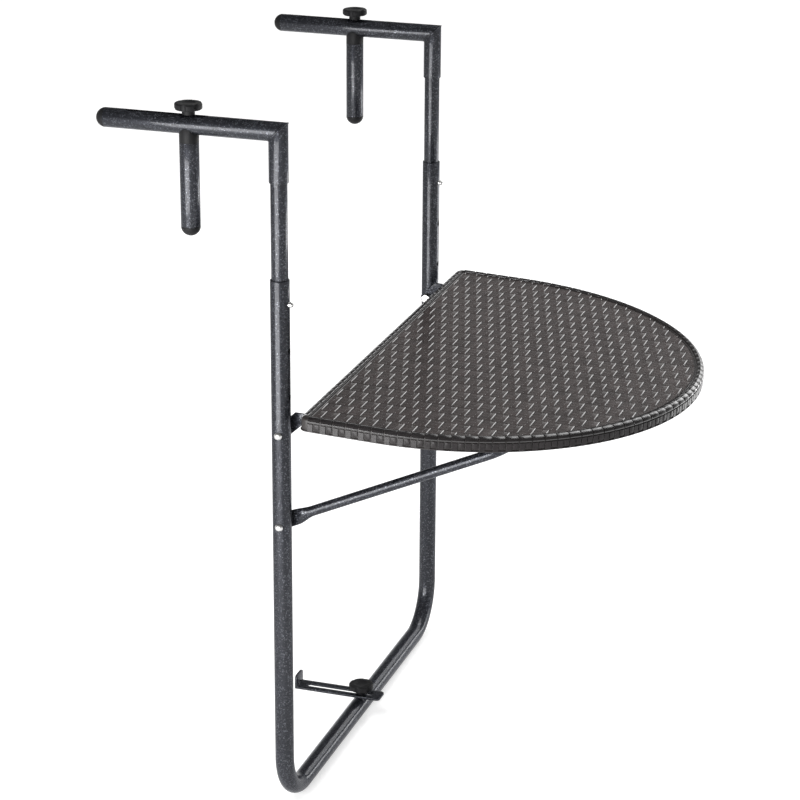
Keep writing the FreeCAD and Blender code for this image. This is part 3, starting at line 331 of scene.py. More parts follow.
def makeCane(name, dark, light, turn, roughness, gloss, look=caneLook):
    # Moulded cane: fine fibres along the strand.
    material, tree, shader = startMaterial(name)
    setInputs(shader, {"Specular IOR Level": gloss})
    fibre = useGroup(tree, brushGroup, {"Across Scale": look["across"], "Along Scale": look["along"],
                                        "Turn": math.radians(turn)})
    grain = useGroup(tree, grainGroup, {"Grain Scale": look["grainScale"],
                                        "Scuff Scale": look["scuffScale"],
                                        "Scuff Amount": look["scuff"]})
    tone = mathNode(tree, "MULTIPLY", fibre.outputs["Lines"], fibre.outputs["Tone"])
    color = mixColor(tree, ramp(tree, tone, *look["tones"]), tinted(dark), tinted(light))
    color = mixColor(tree, grain.outputs["Scuff"], color, tinted(light, look["scuffTint"]))
    tree.links.new(color, shader.inputs["Base Color"])
    rough = scaledPlus(tree, fibre.outputs["Tone"], look["roughen"], roughness)
    tree.links.new(rough, shader.inputs["Roughness"])
    pits = mathNode(tree, "MULTIPLY", grain.outputs["Height"], look["grainShare"])
    height = mathNode(tree, "ADD", fibre.outputs["Lines"], pits)
    joinBump(tree, shader, height, look["bump"], look["depth"])
    return material


def makeSteel(name, dark, light, roughness, look=steelLook):
    material, tree, shader = startMaterial(name)
    lines = useGroup(tree, brushGroup, {"Across Scale": look["across"],
                                        "Along Scale": look["along"]})
    grain = useGroup(tree, grainGroup, {"Grain Scale": look["grainScale"],
                                        "Scuff Amount": look["scuff"]})
    color = mixColor(tree, lines.outputs["Tone"], tinted(dark), tinted(light))
    color = mixColor(tree, grain.outputs["Scuff"], color, tinted(dark, look["scuffTint"]))
    tree.links.new(color, shader.inputs["Base Color"])
    setInputs(shader, {"Metallic": 1.0})
    rough = scaledPlus(tree, lines.outputs["Lines"], look["roughen"], roughness)
    tree.links.new(rough, shader.inputs["Roughness"])
    joinBump(tree, shader, lines.outputs["Lines"], look["bump"], look["depth"])
    return material


framePaint = makePaint("framePaint", (0.018, 0.019, 0.023), (0.105, 0.11, 0.126), 660.0, 0.0006)
blackPlastic = makePlastic("blackPlastic", (0.006, 0.006, 0.0065), (0.012, 0.012, 0.013),
                           0.42, 1500.0, 0.0002, 0.13)
# Darker than the cane: the shell shows through the gaps of the weave, and its dark colour there is
# painted shade.
shadedShellPlastic = makePlastic("shadedShellPlastic", (0.011, 0.009, 0.009), (0.020, 0.017, 0.016),
                           0.34, 900.0, 0.0002, 0.35)
caneAlong = makeCane("caneAlong", (0.028, 0.0215, 0.0205), (0.058, 0.045, 0.043), 0, 0.17, 0.9)
caneAcross = makeCane("caneAcross", (0.028, 0.0215, 0.0205), (0.056, 0.044, 0.042), 90, 0.2, 0.9)
caneWrap = makeCane("caneWrap", (0.006, 0.005, 0.0052), (0.012, 0.010, 0.0105), 90, 0.13, 0.85)
caneBorder = makeCane("caneBorder", (0.010, 0.0085, 0.009), (0.020, 0.017, 0.0175), 90, 0.17, 0.24)
zincPlate = makeSteel("zincPlate", (0.50, 0.50, 0.50), (0.72, 0.72, 0.71), 0.22)
springSteel = makeSteel("springSteel", (0.20, 0.21, 0.24), (0.34, 0.35, 0.38), 0.3)
nylon = makePlastic("nylon", (0.52, 0.50, 0.44), (0.66, 0.64, 0.58), 0.4, 1200.0, 0.0001)
finishOfSlot = {"frame_coat": framePaint, "zinc": zincPlate, "black_plastic": blackPlastic,
                "table_plastic": shadedShellPlastic, "spring_steel": springSteel, "nylon": nylon}
print("finishes ready:", len(bpy.data.materials))


# Mesh helpers

def finishPiece(bm, name, body, material, replaced=(), sharpAngle=38):
    for face in bm.faces:
        face.smooth = True
    mesh = meshOf(bm, name)
    mesh.set_sharp_from_angle(angle=math.radians(sharpAngle))
    for each in material if isinstance(material, list) else [material]:
        mesh.materials.append(each)
    piece = addObject(name, mesh)
    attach(piece, body)
    if replaced:
        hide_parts(*replaced)
    return piece


def vertsOf(edges):
    return list(dict.fromkeys(v for e in edges for v in e.verts))


def edgesAmong(verts):
    chosen = set(verts)
    linked = dict.fromkeys(e for v in verts for e in v.link_edges)
    return [e for e in linked if e.verts[0] in chosen and e.verts[1] in chosen]


quadCorners = 4


def settleOrder(bm, turnCaps=True):
    # Rebuilds the mesh in the order of its places, because extruding, filling and cutting leave
    # an order that changes from run to run. A flat cap also gets a fixed first corner. Other faces
    # keep theirs, and with it the way they split.
    spots = sorted(bm.verts, key=lambda v: tuple(v.co))
    place = {vert: i for i, vert in enumerate(spots)}
    rings = []
    for face in bm.faces:
        ring = [place[v] for v in face.verts]
        least = ring.index(min(ring))
        turned = ring[least:] + ring[:least]
        isCap = turnCaps and len(ring) > quadCorners
        rings.append((turned, turned if isCap else ring, face.material_index))
    points = [vert.co.copy() for vert in spots]
    bm.clear()
    verts = [bm.verts.new(point) for point in points]
    for turned, ring, material in sorted(rings):
        bm.faces.new([verts[i] for i in ring]).material_index = material
    bm.normal_update()


def newLoop(bm, radius, segments, matrix):
    made = bmesh.ops.create_circle(bm, cap_ends=False, segments=segments, radius=radius,
                                   matrix=matrix)
    return edgesAmong(made["verts"])


def pushLoop(bm, edges, step):
    made = bmesh.ops.extrude_edge_only(bm, edges=edges)
    verts = [g for g in made["geom"] if isinstance(g, bmesh.types.BMVert)]
    bmesh.ops.translate(bm, verts=verts, vec=step)
    return edgesAmong(verts)


def turnLoop(bm, edges, centre, axis, angle, steps):
    made = bmesh.ops.spin(bm, geom=vertsOf(edges) + list(edges), cent=centre, axis=axis, dvec=(0, 0, 0),
                          angle=math.radians(angle), steps=steps, use_merge=False,
                          use_normal_flip=False, use_duplicate=False)
    last = [g for g in made["geom_last"] if isinstance(g, bmesh.types.BMVert)]
    return edgesAmong(last)


def cutAway(bm, cutters):
    # Takes the cutters' meshes out of bm, by a Boolean modifier that is applied at once.
    def wrap(source, name):
        bmesh.ops.recalc_face_normals(source, faces=source.faces)
        mesh = bpy.data.meshes.new(name)
        source.to_mesh(mesh)
        return addObject(name, mesh)

    target = wrap(bm, "cutTarget")
    tools = []
    for cutter in cutters:
        tool = wrap(cutter, "cutTool")
        cutter.free()
        tools.append(tool)
        step = target.modifiers.new("cut", "BOOLEAN")
        step.operation = "DIFFERENCE"
        step.solver = "EXACT"
        step.object = tool
    graph = bpy.context.evaluated_depsgraph_get()
    result = bpy.data.meshes.new_from_object(target.evaluated_get(graph))
    bm.clear()
    bm.from_mesh(result)
    for made in [target] + tools:
        bpy.data.objects.remove(made)


def rod(radius, length, centre, axis, segments=32):
    # A capped cylinder centred on a point, used as a cutter.
    bm = bmesh.new()
    turn = Vector((0, 0, 1)).rotation_difference(Vector(axis)).to_matrix().to_4x4()
    bmesh.ops.create_cone(bm, cap_ends=True, segments=segments, radius1=radius, radius2=radius,
                          depth=length, matrix=Matrix.Translation(centre) @ turn)
    return bm


def bevelEdges(bm, edges, width, segments=2):
    bmesh.ops.bevel(bm, geom=edges, offset=width, segments=segments, profile=0.5, affect="EDGES",
                    material=-1, clamp_overlap=True, offset_type="OFFSET")


def softenEdges(bm, width, angle=32):
    bmesh.ops.recalc_face_normals(bm, faces=bm.faces)
    sharp = [e for e in bm.edges if len(e.link_faces) == 2
             and e.calc_face_angle(0) > math.radians(angle)]
    bevelEdges(bm, sharp, width)


# Pieces that keep their CAD shape: merged, with edges broken as on the real ones. Edge widths are
# in millimetres, and flat is the angle in degrees below which two faces become one.
keptShape = {"mergeGap": 0.004, "flat": 0.6,
             "edge": {"frame_coat": 0.25, "zinc": 0.2, "black_plastic": 0.4, "table_plastic": 0.4,
                      "spring_steel": 0.1, "nylon": 0.15}}


def dressNode(node, size):
    slotName = slotOfNode[node]
    bm = bmesh.new()
    bm.from_mesh(frame["nodes"][node].data)
    bmesh.ops.remove_doubles(bm, verts=bm.verts, dist=size["mergeGap"] * mm)
    bmesh.ops.dissolve_limit(bm, angle_limit=math.radians(size["flat"]), verts=bm.verts,
                             edges=bm.edges, use_dissolve_boundaries=False, delimit=set())
    softenEdges(bm, size["edge"][slotName] * mm)
    return finishPiece(bm, node + "_look", bodyOfNode[node], finishOfSlot[slotName],
                       [node])


# Lower frame: one bent tube. Lengths below are in millimetres, in the row frame.
lowerFrame = {"radius": 11.0, "wall": 1.2, "postX": 275.0, "top": -156.0, "bottom": -802.5,
              "bend": 60.0, "lockHoles": (-183.5, -238.0, -292.5), "lockRadius": 3.5,
              "boltDrops": (-336.5, -447.5), "boltRadius": 3.08, "insertRadius": 4.6,
              "throughLong": 640.0, "edge": 0.3, "edgeAngle": 60, "around": 64, "bendSteps": 20}


def sweepFrameWall(bm, size, radius):
    x, bend = size["postX"] * mm, size["bend"] * mm
    bottom = size["bottom"] * mm
    start = Matrix.Translation((-x, 0, size["top"] * mm))
    first = newLoop(bm, radius * mm, size["around"], start)
    loop = pushLoop(bm, first, (0, 0, bottom + bend - size["top"] * mm))
    loop = turnLoop(bm, loop, (-x + bend, 0, bottom + bend), (0, -1, 0), 90, size["bendSteps"])
    loop = pushLoop(bm, loop, (2 * (x - bend), 0, 0))
    loop = turnLoop(bm, loop, (x - bend, 0, bottom + bend), (0, -1, 0), 90, size["bendSteps"])
    last = pushLoop(bm, loop, (0, 0, size["top"] * mm - bottom - bend))
    return first, last


def makeLowerFrame(size):
    bm = bmesh.new()
    outer = sweepFrameWall(bm, size, size["radius"])
    outerFaces = set(bm.faces)
    inner = sweepFrameWall(bm, size, size["radius"] - size["wall"])
    bmesh.ops.reverse_faces(bm, faces=[f for f in bm.faces if f not in outerFaces])
    for pair in zip(outer, inner):
        bmesh.ops.bridge_loops(bm, edges=pair[0] + pair[1])
    bmesh.ops.remove_doubles(bm, verts=bm.verts, dist=mergeGap)
    bmesh.ops.recalc_face_normals(bm, faces=bm.faces)
    settleOrder(bm)
    softenEdges(bm, size["edge"] * mm, size["edgeAngle"])
    x, r = size["postX"] * mm, size["radius"] * mm
    cutters = []
    for sign in (-1, 1):
        for z in size["lockHoles"]:
            cutters.append(rod(size["lockRadius"] * mm, r, (sign * x, -r, z * mm), (0, 1, 0)))
    for z in size["boltDrops"]:
        cutters.append(rod(size["boltRadius"] * mm, size["throughLong"] * mm, (0, 0, z * mm),
                           (1, 0, 0)))
    cutters.append(rod(size["insertRadius"] * mm, r, (0, 0, size["bottom"] * mm + r), (0, 0, 1)))
    cutAway(bm, cutters)
    return finishPiece(bm, "lower_frame_look", "frame", framePaint, ["lower_frame"])


makeLowerFrame(lowerFrame)
print("lower frame ready")


# Strut: a bent tube whose ends are pressed flat around the bolts.
strut = {"radius": 6.0, "legX": 257.0, "reach": 290.0, "bend": 30.0, "pivotZ": -447.5,
         "slope": 24.508, "flatEnd": 13.0, "flareEnd": 33.0, "flatWidth": 18.8, "flatThick": 2.6,
         "flatX": 261.1, "boltRadius": 3.08, "throughLong": 600.0, "tip": 0.06, "edge": 0.25,
         "edgeAngle": 50, "sharpAngle": 45, "around": 40, "bendSteps": 14, "flareSteps": 8,
         "tipSteps": 8}


def easeShare(value):
    return value * value * (3 - 2 * value)


def shapeStrutEnd(loopVerts, size, share, side):
    # Squeezes one ring towards the flat: share is 0 on the round tube and 1 on the flat.
    centre = side * (size["legX"] + (size["flatX"] - size["legX"]) * share) * mm
    wide = size["flatWidth"] / 2 / size["radius"]
    thin = size["flatThick"] / 2 / size["radius"]
    for vert in loopVerts:
        across = vert.co.x - side * size["legX"] * mm
        vert.co.x = centre + across * (1 + (thin - 1) * share)
        vert.co.z *= 1 + (wide - 1) * share


def unshapeStrutEnd(loopVerts, size, share, side):
    # Takes the squeeze of the ring before out of a new ring.
    centre = side * (size["legX"] + (size["flatX"] - size["legX"]) * share) * mm
    wide = size["flatWidth"] / 2 / size["radius"]
    thin = size["flatThick"] / 2 / size["radius"]
    for vert in loopVerts:
        across = vert.co.x - centre
        vert.co.x = side * size["legX"] * mm + across / (1 + (thin - 1) * share)
        vert.co.z /= 1 + (wide - 1) * share


def makeStrut(size):
    bm = bmesh.new()
    x, bend, reach = size["legX"] * mm, size["bend"] * mm, size["reach"] * mm
    flare = size["flareEnd"] * mm
    turn = Matrix.Translation((-x, -flare, 0)) @ Matrix.Rotation(math.radians(90), 4, "X")
    loop = newLoop(bm, size["radius"] * mm, size["around"], turn)
    first = loop
    loop = pushLoop(bm, loop, (0, -(reach - bend - flare), 0))
    loop = turnLoop(bm, loop, (-x + bend, -reach + bend, 0), (0, 0, 1), 90, size["bendSteps"])
    loop = pushLoop(bm, loop, (2 * (x - bend), 0, 0))
    loop = turnLoop(bm, loop, (x - bend, -reach + bend, 0), (0, 0, 1), 90, size["bendSteps"])
    last = pushLoop(bm, loop, (0, reach - bend - flare, 0))
    run = (size["flareEnd"] - size["flatEnd"]) * mm / size["flareSteps"]
    for side, ring in ((-1, first), (1, last)):
        for step in range(1, size["flareSteps"] + 1):
            ring = pushLoop(bm, ring, (0, run, 0))
            verts = vertsOf(ring)
            if step > 1:
                unshapeStrutEnd(verts, size, easeShare((step - 1) / size["flareSteps"]), side)
            shapeStrutEnd(verts, size, easeShare(step / size["flareSteps"]), side)
        # the flat runs on past the bolt and ends round
        ring = pushLoop(bm, ring, (0, size["flatEnd"] * mm, 0))
        for step in range(size["tipSteps"]):
            was = math.radians(90 * step / size["tipSteps"])
            now = math.radians(90 * (step + 1) / size["tipSteps"])
            rise = math.sin(now) - math.sin(was)
            ring = pushLoop(bm, ring, (0, rise * size["flatWidth"] / 2 * mm, 0))
            for vert in vertsOf(ring):
                vert.co.z *= max(math.cos(now), size["tip"]) / math.cos(was)
        bmesh.ops.contextual_create(bm, geom=ring)
    bmesh.ops.recalc_face_normals(bm, faces=bm.faces)
    settleOrder(bm)
    cutAway(bm, [rod(size["boltRadius"] * mm, size["throughLong"] * mm, (0, 0, 0), (1, 0, 0))])
    softenEdges(bm, size["edge"] * mm, size["edgeAngle"])
    place = Matrix.Translation((0, 0, size["pivotZ"] * mm)) @ Matrix.Rotation(
        math.radians(-size["slope"]), 4, "X")
    bmesh.ops.transform(bm, matrix=place, verts=bm.verts)
    return finishPiece(bm, "strut_bracket_look", "strut", framePaint,
                       ["strut_bracket"], size["sharpAngle"])


makeStrut(strut)
print("strut ready")


# Table top: CAD shell, a border of moulded wraps and a woven field. Sizes in the table's own frame.
tableTop = {"hingeZ": -336.5, "fall": 2.5, "halfWidth": 300.0, "back": -30.0, "centreY": -116.0,
            "surface": 31.5, "corner": 9.0}
# Profiles are (outwards from the edge, height) or (across, height above the surface).
border = {"pitch": 15.1, "notch": 1.5, "round": 0.18,
          "wrap": ((-7.3, 31.7), (-7.0, 33.1), (-6.4, 33.45), (-3.5, 33.92), (-0.4, 32.17),
                   (1.0, 29.5), (0.6, 28.4)),
          "padProud": 1.05, "padDeep": 1.5, "padRound": 0.3, "padCorner": 1.7, "padCornerSteps": 3,
          "shortPad": (6.3, 20.0, 27.3), "longPad": (6.5, 17.9, 27.3),
          "stripHigh": 18.9, "stripLow": 17.0,
          "ledge": 10.1, "ledgeWide": 0.8, "ledgeHigh": 0.75, "sharpAngle": 25}
weave = {"cellX": 25.0, "cellY": 7.6, "margin": 11.1, "firstRow": -116.7, "shift": -3.5,
         "over": ((3.5, -0.25), (2.9, 0.42), (0.5, 0.55), (-1.6, 0.6), (-2.0, 1.02), (-2.3, 1.1),
                  (-3.05, 0.575), (-3.3, -0.4)),
         "overStations": ((-12.8, -1.1), (-11.4, -0.3), (-10.2, 0.0), (10.2, 0.0), (11.4, -0.3),
                          (12.8, -1.1)),
         "underLong": 8.0, "underOffset": -0.75, "underHigh": 0.3, "underGap": 0.3,
         "underRound": 0.28, "rows": (-14, 42), "columns": (-13, 14), "spare": (1, 2),
         "trimSteps": 60, "trimGap": 1e-7}
# Lines that run round the table: tightest is their smallest bend, in widths.
roundLine = {"sides": 8, "tightest": 1.2, "cornerSteps": 10, "frontSteps": 90}
halfSide = math.radians(180 / roundLine["sides"])


def onTable(bm, size):
    place = Matrix.Translation((0, 0, size["hingeZ"] * mm)) @ Matrix.Rotation(
        math.radians(size["fall"]), 4, "X")
    bmesh.ops.transform(bm, matrix=place, verts=bm.verts)


def edgeWalk(size, pitch):
    # Spots along the border, each with its outward direction and the length of its run.
    radius, back, corner = size["halfWidth"], size["back"], size["corner"]
    straight = back - corner - size["centreY"]
    total = 2 * straight + math.pi * radius
    count = round(total / pitch)
    spots = []
    for i in range(count):
        along = total * (i + 0.5) / count
        if along < straight:
            spot, out = Vector((-radius, back - corner - along, 0)), Vector((-1, 0, 0))
        elif along > total - straight:
            spot, out = Vector((radius, back - corner - (total - along), 0)), Vector((1, 0, 0))
        else:
            angle = math.pi + (along - straight) / radius
            out = Vector((math.cos(angle), math.sin(angle), 0))
            spot = Vector((0, size["centreY"], 0)) + out * radius
        spots.append((spot, out, total / count))
    backLength = 2 * (radius - corner)
    count = round(backLength / pitch)
    for i in range(count):
        x = -backLength / 2 + backLength * (i + 0.5) / count
        spots.append((Vector((x, back, 0)), Vector((0, 1, 0)), backLength / count))
    return spots


def openBlock(length, width, height):
    # A block without an underside, standing on its middle.
    bm = bmesh.new()
    bmesh.ops.create_cube(bm, size=1)
    bmesh.ops.scale(bm, verts=bm.verts, vec=(length, width, height))
    bmesh.ops.translate(bm, verts=bm.verts, vec=(0, 0, height / 2))
    under = [f for f in bm.faces if f.normal.z < -0.5]
    bmesh.ops.delete(bm, geom=under, context="FACES_ONLY")
    return bm


def pillowMesh(length, width, height, roundness):
    # A block with a soft crown.
    bm = openBlock(length, width, height)
    top = [e for e in bm.edges if any(v.co.z > height / 2 for v in e.verts)]
    bevelEdges(bm, top, roundness, 1)
    return meshOf(bm, "pillow")


def drawnMesh(name, profile, stations, roundness, capped, edgeAngle=20):
    # Draws a profile along x: each station is a place along it and a dip of the whole profile.
    bm = bmesh.new()
    start, dip = stations[0]
    verts = [bm.verts.new((start * mm, across * mm, (high + dip) * mm)) for across, high in profile]
    edges = [bm.edges.new(pair) for pair in zip(verts, verts[1:])]
    first = edges
    for (fromX, fromDip), (toX, toDip) in zip(stations, stations[1:]):
        edges = pushLoop(bm, edges, ((toX - fromX) * mm, 0, (toDip - fromDip) * mm))
    if capped:
        for end in (first, edges):
            ring = sorted(vertsOf(end), key=lambda v: v.co.y)
            bm.edges.new((ring[0], ring[-1]))
            bmesh.ops.contextual_create(bm, geom=edgesAmong(ring))
    bmesh.ops.recalc_face_normals(bm, faces=bm.faces)
    if sum(f.normal.z * f.calc_area() for f in bm.faces) < 0:
        bmesh.ops.reverse_faces(bm, faces=bm.faces)
    settleOrder(bm)
    if roundness:
        softenEdges(bm, roundness, edgeAngle)
        settleOrder(bm)
    return meshOf(bm, name)


def padMesh(wide, tall, corner, trim):
    # A pad that lies on the rim: its lower corners are rounded, and its face has soft edges.
    deep = trim["padDeep"] * mm
    bm = openBlock(wide * mm, tall * mm, deep)
    if corner:
        lower = [e for e in bm.edges if all(v.co.y > 0 for v in e.verts)
                 and abs(e.verts[0].co.z - e.verts[1].co.z) > deep / 2]
        bevelEdges(bm, lower, corner * mm, trim["padCornerSteps"])
    rim = [e for e in bm.edges if all(v.co.z > deep / 2 for v in e.verts)]
    bevelEdges(bm, rim, trim["padRound"] * mm)
    settleOrder(bm, turnCaps=False)
    return meshOf(bm, "pad")


def addCopy(bm, mesh, place, material=0):
    made = mesh.copy()
    made.transform(place)
    for face in made.polygons:
        face.material_index = material
    bm.from_mesh(made)
    bpy.data.meshes.remove(made)


def insideTop(x, y, size, margin):
    if y > size["back"] - margin:
        return False
    reach = size["halfWidth"] - margin
    if y > size["centreY"]:
        return abs(x) < reach
    return math.hypot(x, y - size["centreY"]) < reach


def makeWeave(size, pattern):
    # Cells that touch the border, with a little to spare, are trimmed to it. The rest stay whole.
    whole, cut = bmesh.new(), bmesh.new()
    cellX, cellY = pattern["cellX"], pattern["cellY"]
    over = drawnMesh("overStrand", pattern["over"], pattern["overStations"], 0, False)
    under = pillowMesh((cellX / 3 - pattern["underGap"]) * mm, pattern["underLong"] * mm,
                       pattern["underHigh"] * mm, pattern["underRound"] * mm)
    reachX, reachY = cellX / 2 + pattern["spare"][0], cellY / 2 + pattern["spare"][1]
    for row in range(*pattern["rows"]):
        for column in range(*pattern["columns"]):
            x = column * cellX + pattern["shift"]
            y = pattern["firstRow"] - row * cellY
            corners = [(x + sx * reachX, y + sy * reachY) for sx in (-1, 1) for sy in (-1, 1)]
            inside = sum(insideTop(*corner, size, pattern["margin"]) for corner in corners)
            if inside == 0:
                continue
            bm = whole if inside == 4 else cut
            place = Matrix.Translation(Vector((x, y, size["surface"])) * mm)
            if (row + column) % 2 == 0:
                addCopy(bm, over, place)
            else:
                for strand in (-1, 0, 1):
                    shift = Vector((strand * cellX / 3, pattern["underOffset"], 0)) * mm
                    addCopy(bm, under, place @ Matrix.Translation(shift), 1)
    trimToBorder(cut, size, pattern)
    settleOrder(cut, turnCaps=False)
    trimmed = meshOf(cut, "trimmed")
    whole.from_mesh(trimmed)
    bpy.data.meshes.remove(trimmed)
    onTable(whole, size)
    return finishPiece(whole, "table_weave", "table", [caneAlong, caneAcross])


def trimToBorder(bm, size, pattern):
    # Cuts the field along the inner edge of the border.
    def cutBeyond(point, normal):
        bmesh.ops.bisect_plane(bm, geom=bm.verts[:] + bm.edges[:] + bm.faces[:],
                               dist=pattern["trimGap"], plane_co=point, plane_no=normal,
                               clear_outer=True)

    reach = size["halfWidth"] - pattern["margin"]
    cutBeyond(Vector((0, size["back"] - pattern["margin"], 0)) * mm, (0, 1, 0))
    cutBeyond(Vector((reach, 0, 0)) * mm, (1, 0, 0))
    cutBeyond(Vector((-reach, 0, 0)) * mm, (-1, 0, 0))
    for i in range(pattern["trimSteps"] + 1):
        angle = math.pi + math.pi * i / pattern["trimSteps"]
        out = Vector((math.cos(angle), math.sin(angle), 0))
        cutBeyond((Vector((0, size["centreY"], 0)) + out * reach) * mm, out)


def makeBorder(size, trim):
    # One wrap and two pads for each step along the edge.
    bm = bmesh.new()
    lay = Matrix.Rotation(math.radians(-90), 4, "X")
    made = {}
    for spot, out, run in edgeWalk(size, trim["pitch"]):
        turn = Matrix((Vector((out.y, -out.x, 0)), out, Vector((0, 0, 1)))).transposed().to_4x4()
        key = round(run, 2)
        if key not in made:
            half = (run - trim["notch"]) / 2
            pads = []
            for name, corner in (("shortPad", trim["padCorner"]), ("longPad", 0)):
                wide, low, high = trim[name]
                pads.append(padMesh(wide * run / trim["pitch"], high - low, corner, trim))
            wrap = drawnMesh("wrap", trim["wrap"], ((-half, 0), (half, 0)), trim["round"] * mm, True)
            made[key] = (wrap, *pads)
        wrap, shortPad, longPad = made[key]
        addCopy(bm, wrap, Matrix.Translation(spot * mm) @ turn, 1)
        wall = spot + out * (trim["padProud"] - trim["padDeep"])
        along = Vector((out.y, -out.x, 0)) * run / 4
        for pad, name, sign in ((shortPad, "shortPad", -1), (longPad, "longPad", 1)):
            middle = wall + along * sign + Vector((0, 0, (trim[name][1] + trim[name][2]) / 2))
            addCopy(bm, pad, Matrix.Translation(middle * mm) @ turn @ lay)
    onTable(bm, size)
    return finishPiece(bm, "table_border", "table", [caneBorder, caneWrap],
                       sharpAngle=trim["sharpAngle"])


def runRound(size, inset, z, wide, high, name):
    # A line that follows the table's edge from the middle of the back, all the way round.
    bm = bmesh.new()
    around, corner, front = roundLine["sides"], roundLine["cornerSteps"], roundLine["frontSteps"]
    radius = size["halfWidth"] - inset
    back = size["back"] - inset
    bend = max(size["corner"] - inset, wide * roundLine["tightest"])
    side, flat = back - bend - size["centreY"], radius - bend
    start = Matrix.Translation(Vector((0, back, z)) * mm) @ Matrix.Rotation(
        math.radians(90), 4, "Y") @ Matrix.Rotation(halfSide, 4, "Z")
    loop = newLoop(bm, wide * mm, around, start)
    loop = pushLoop(bm, loop, (-flat * mm, 0, 0))
    loop = turnLoop(bm, loop, Vector((-flat, back - bend, z)) * mm, (0, 0, 1), 90, corner)
    loop = pushLoop(bm, loop, (0, -side * mm, 0))
    loop = turnLoop(bm, loop, Vector((0, size["centreY"], z)) * mm, (0, 0, 1), 180, front)
    loop = pushLoop(bm, loop, (0, side * mm, 0))
    loop = turnLoop(bm, loop, Vector((flat, back - bend, z)) * mm, (0, 0, 1), 90, corner)
    pushLoop(bm, loop, (-flat * mm, 0, 0))
    bmesh.ops.remove_doubles(bm, verts=bm.verts, dist=mergeGap)
    level = Matrix.Translation((0, 0, z * mm))
    bmesh.ops.transform(bm, matrix=level.inverted(), verts=bm.verts)
    bmesh.ops.scale(bm, verts=bm.verts, vec=(1, 1, high / wide))
    bmesh.ops.transform(bm, matrix=level, verts=bm.verts)
    bmesh.ops.recalc_face_normals(bm, faces=bm.faces)
    settleOrder(bm)
    onTable(bm, size)
    return finishPiece(bm, name, "table", caneBorder)


def makeLedge(size, trim):
    # A thin raised line between the border and the woven field.
    return runRound(size, trim["ledge"], size["surface"], trim["ledgeWide"], trim["ledgeHigh"],
                    "table_ledge")


def makeStrip(size, trim):
    # The plain strip at the foot of the rim, level with the long pads.
    high = (trim["stripHigh"] - trim["stripLow"]) / 2 / math.cos(halfSide)
    wide = trim["padProud"] / math.cos(halfSide)
    return runRound(size, 0.0, (trim["stripHigh"] + trim["stripLow"]) / 2, wide, high,
                    "table_rim_strip")


makeBorder(tableTop, border)
makeLedge(tableTop, border)
makeStrip(tableTop, border)
makeWeave(tableTop, weave)
print("table top ready")


# Weld beads on the mitres of the hooks.
weldBead = {"hookX": 275.0, "radius": 11.0, "bead": 1.3, "sink": 0.35, "around": 96, "section": 12,
            "beats": 26, "ripple": 0.16, "roughScale": 900, "rough": 0.15, "ground": 0.12,
            "thinned": 0.8, "groundPower": 6}


def makeWeld(side, sign, size):
    bm = bmesh.new()
    start = Matrix.Translation(((size["radius"] - size["sink"]) * mm, 0, 0)) @ Matrix.Rotation(
        math.radians(90), 4, "X")
    loop = newLoop(bm, size["bead"] * mm, size["section"], start)
    bmesh.ops.spin(bm, geom=vertsOf(loop) + loop, cent=(0, 0, 0), axis=(0, 0, 1), dvec=(0, 0, 0),
                   angle=math.radians(360), steps=size["around"], use_merge=True,
                   use_normal_flip=False, use_duplicate=False)
    bmesh.ops.remove_doubles(bm, verts=bm.verts, dist=mergeGap)
    for vert in bm.verts:
        beat = math.sin(math.atan2(vert.co.y, vert.co.x) * size["beats"])
        rough = noise.noise(vert.co * size["roughScale"])
        flat = Vector((vert.co.x, vert.co.y, 0)).normalized()
        vert.co += flat * (beat * size["ripple"] + rough * size["rough"]) * mm
    bmesh.ops.scale(bm, verts=bm.verts, vec=(1, math.sqrt(2), 1))
    reach = max(vert.co.y for vert in bm.verts)
    # ground flat at the corners of the mitre
    for vert in bm.verts:
        near = abs(vert.co.y / reach) ** size["groundPower"]
        vert.co.y *= 1 - size["ground"] * near
        vert.co.z *= 1 - size["thinned"] * near
    corner = Matrix.Translation((sign * size["hookX"] * mm, 0, size["radius"] * mm))
    tilt = corner @ Matrix.Rotation(math.radians(-45), 4, "X")
    bmesh.ops.transform(bm, matrix=tilt, verts=bm.verts)
    bmesh.ops.recalc_face_normals(bm, faces=bm.faces)
    settleOrder(bm)
    return finishPiece(bm, side + "_weld_bead", side + "_hook", framePaint)


for side, sign in sides:
    makeWeld(side, sign, weldBead)

ownShape = {"lower_frame", "strut_bracket"}
for node in sorted(frame["nodes"]):
    if node not in ownShape:
        dressNode(node, keptShape)
print("all nodes dressed")


# Studio: a pale floor, a room that darkens upwards, and soft lamps.
studio = {"floorZ": -0.815, "floorSize": 30.0, "floorColor": 0.6, "floorGlow": 0.6,
          "floorRoughness": 0.9, "floorGloss": 0.1, "horizon": 0.7, "ceiling": 0.19,
          "fade": (0.02, 0.3)}
# Every lamp looks at a point this far in front of the posts, at its own centre height.
aimY = -0.1
lamps = {
    "leftLamp": {"azimuth": 165, "elevation": 0, "centre": -0.42, "distance": 1.5,
                 "size": (1.15, 0.74), "power": 32},
    "rightLamp": {"azimuth": -40, "elevation": 0, "centre": -0.66, "distance": 1.6,
                  "size": (0.95, 0.3), "power": 6},
    "stripLamp": {"azimuth": -18, "elevation": 28, "centre": -0.3, "distance": 2.8,
                  "size": (1.1, 2.0), "power": 25},
    "crownLamp": {"azimuth": -24, "elevation": 58, "centre": -0.3, "distance": 2.8,
                  "size": (1.2, 1.7), "power": 30},
}
sun = {"azimuth": 150, "elevation": 66, "spread": 40, "strength": 1.8}


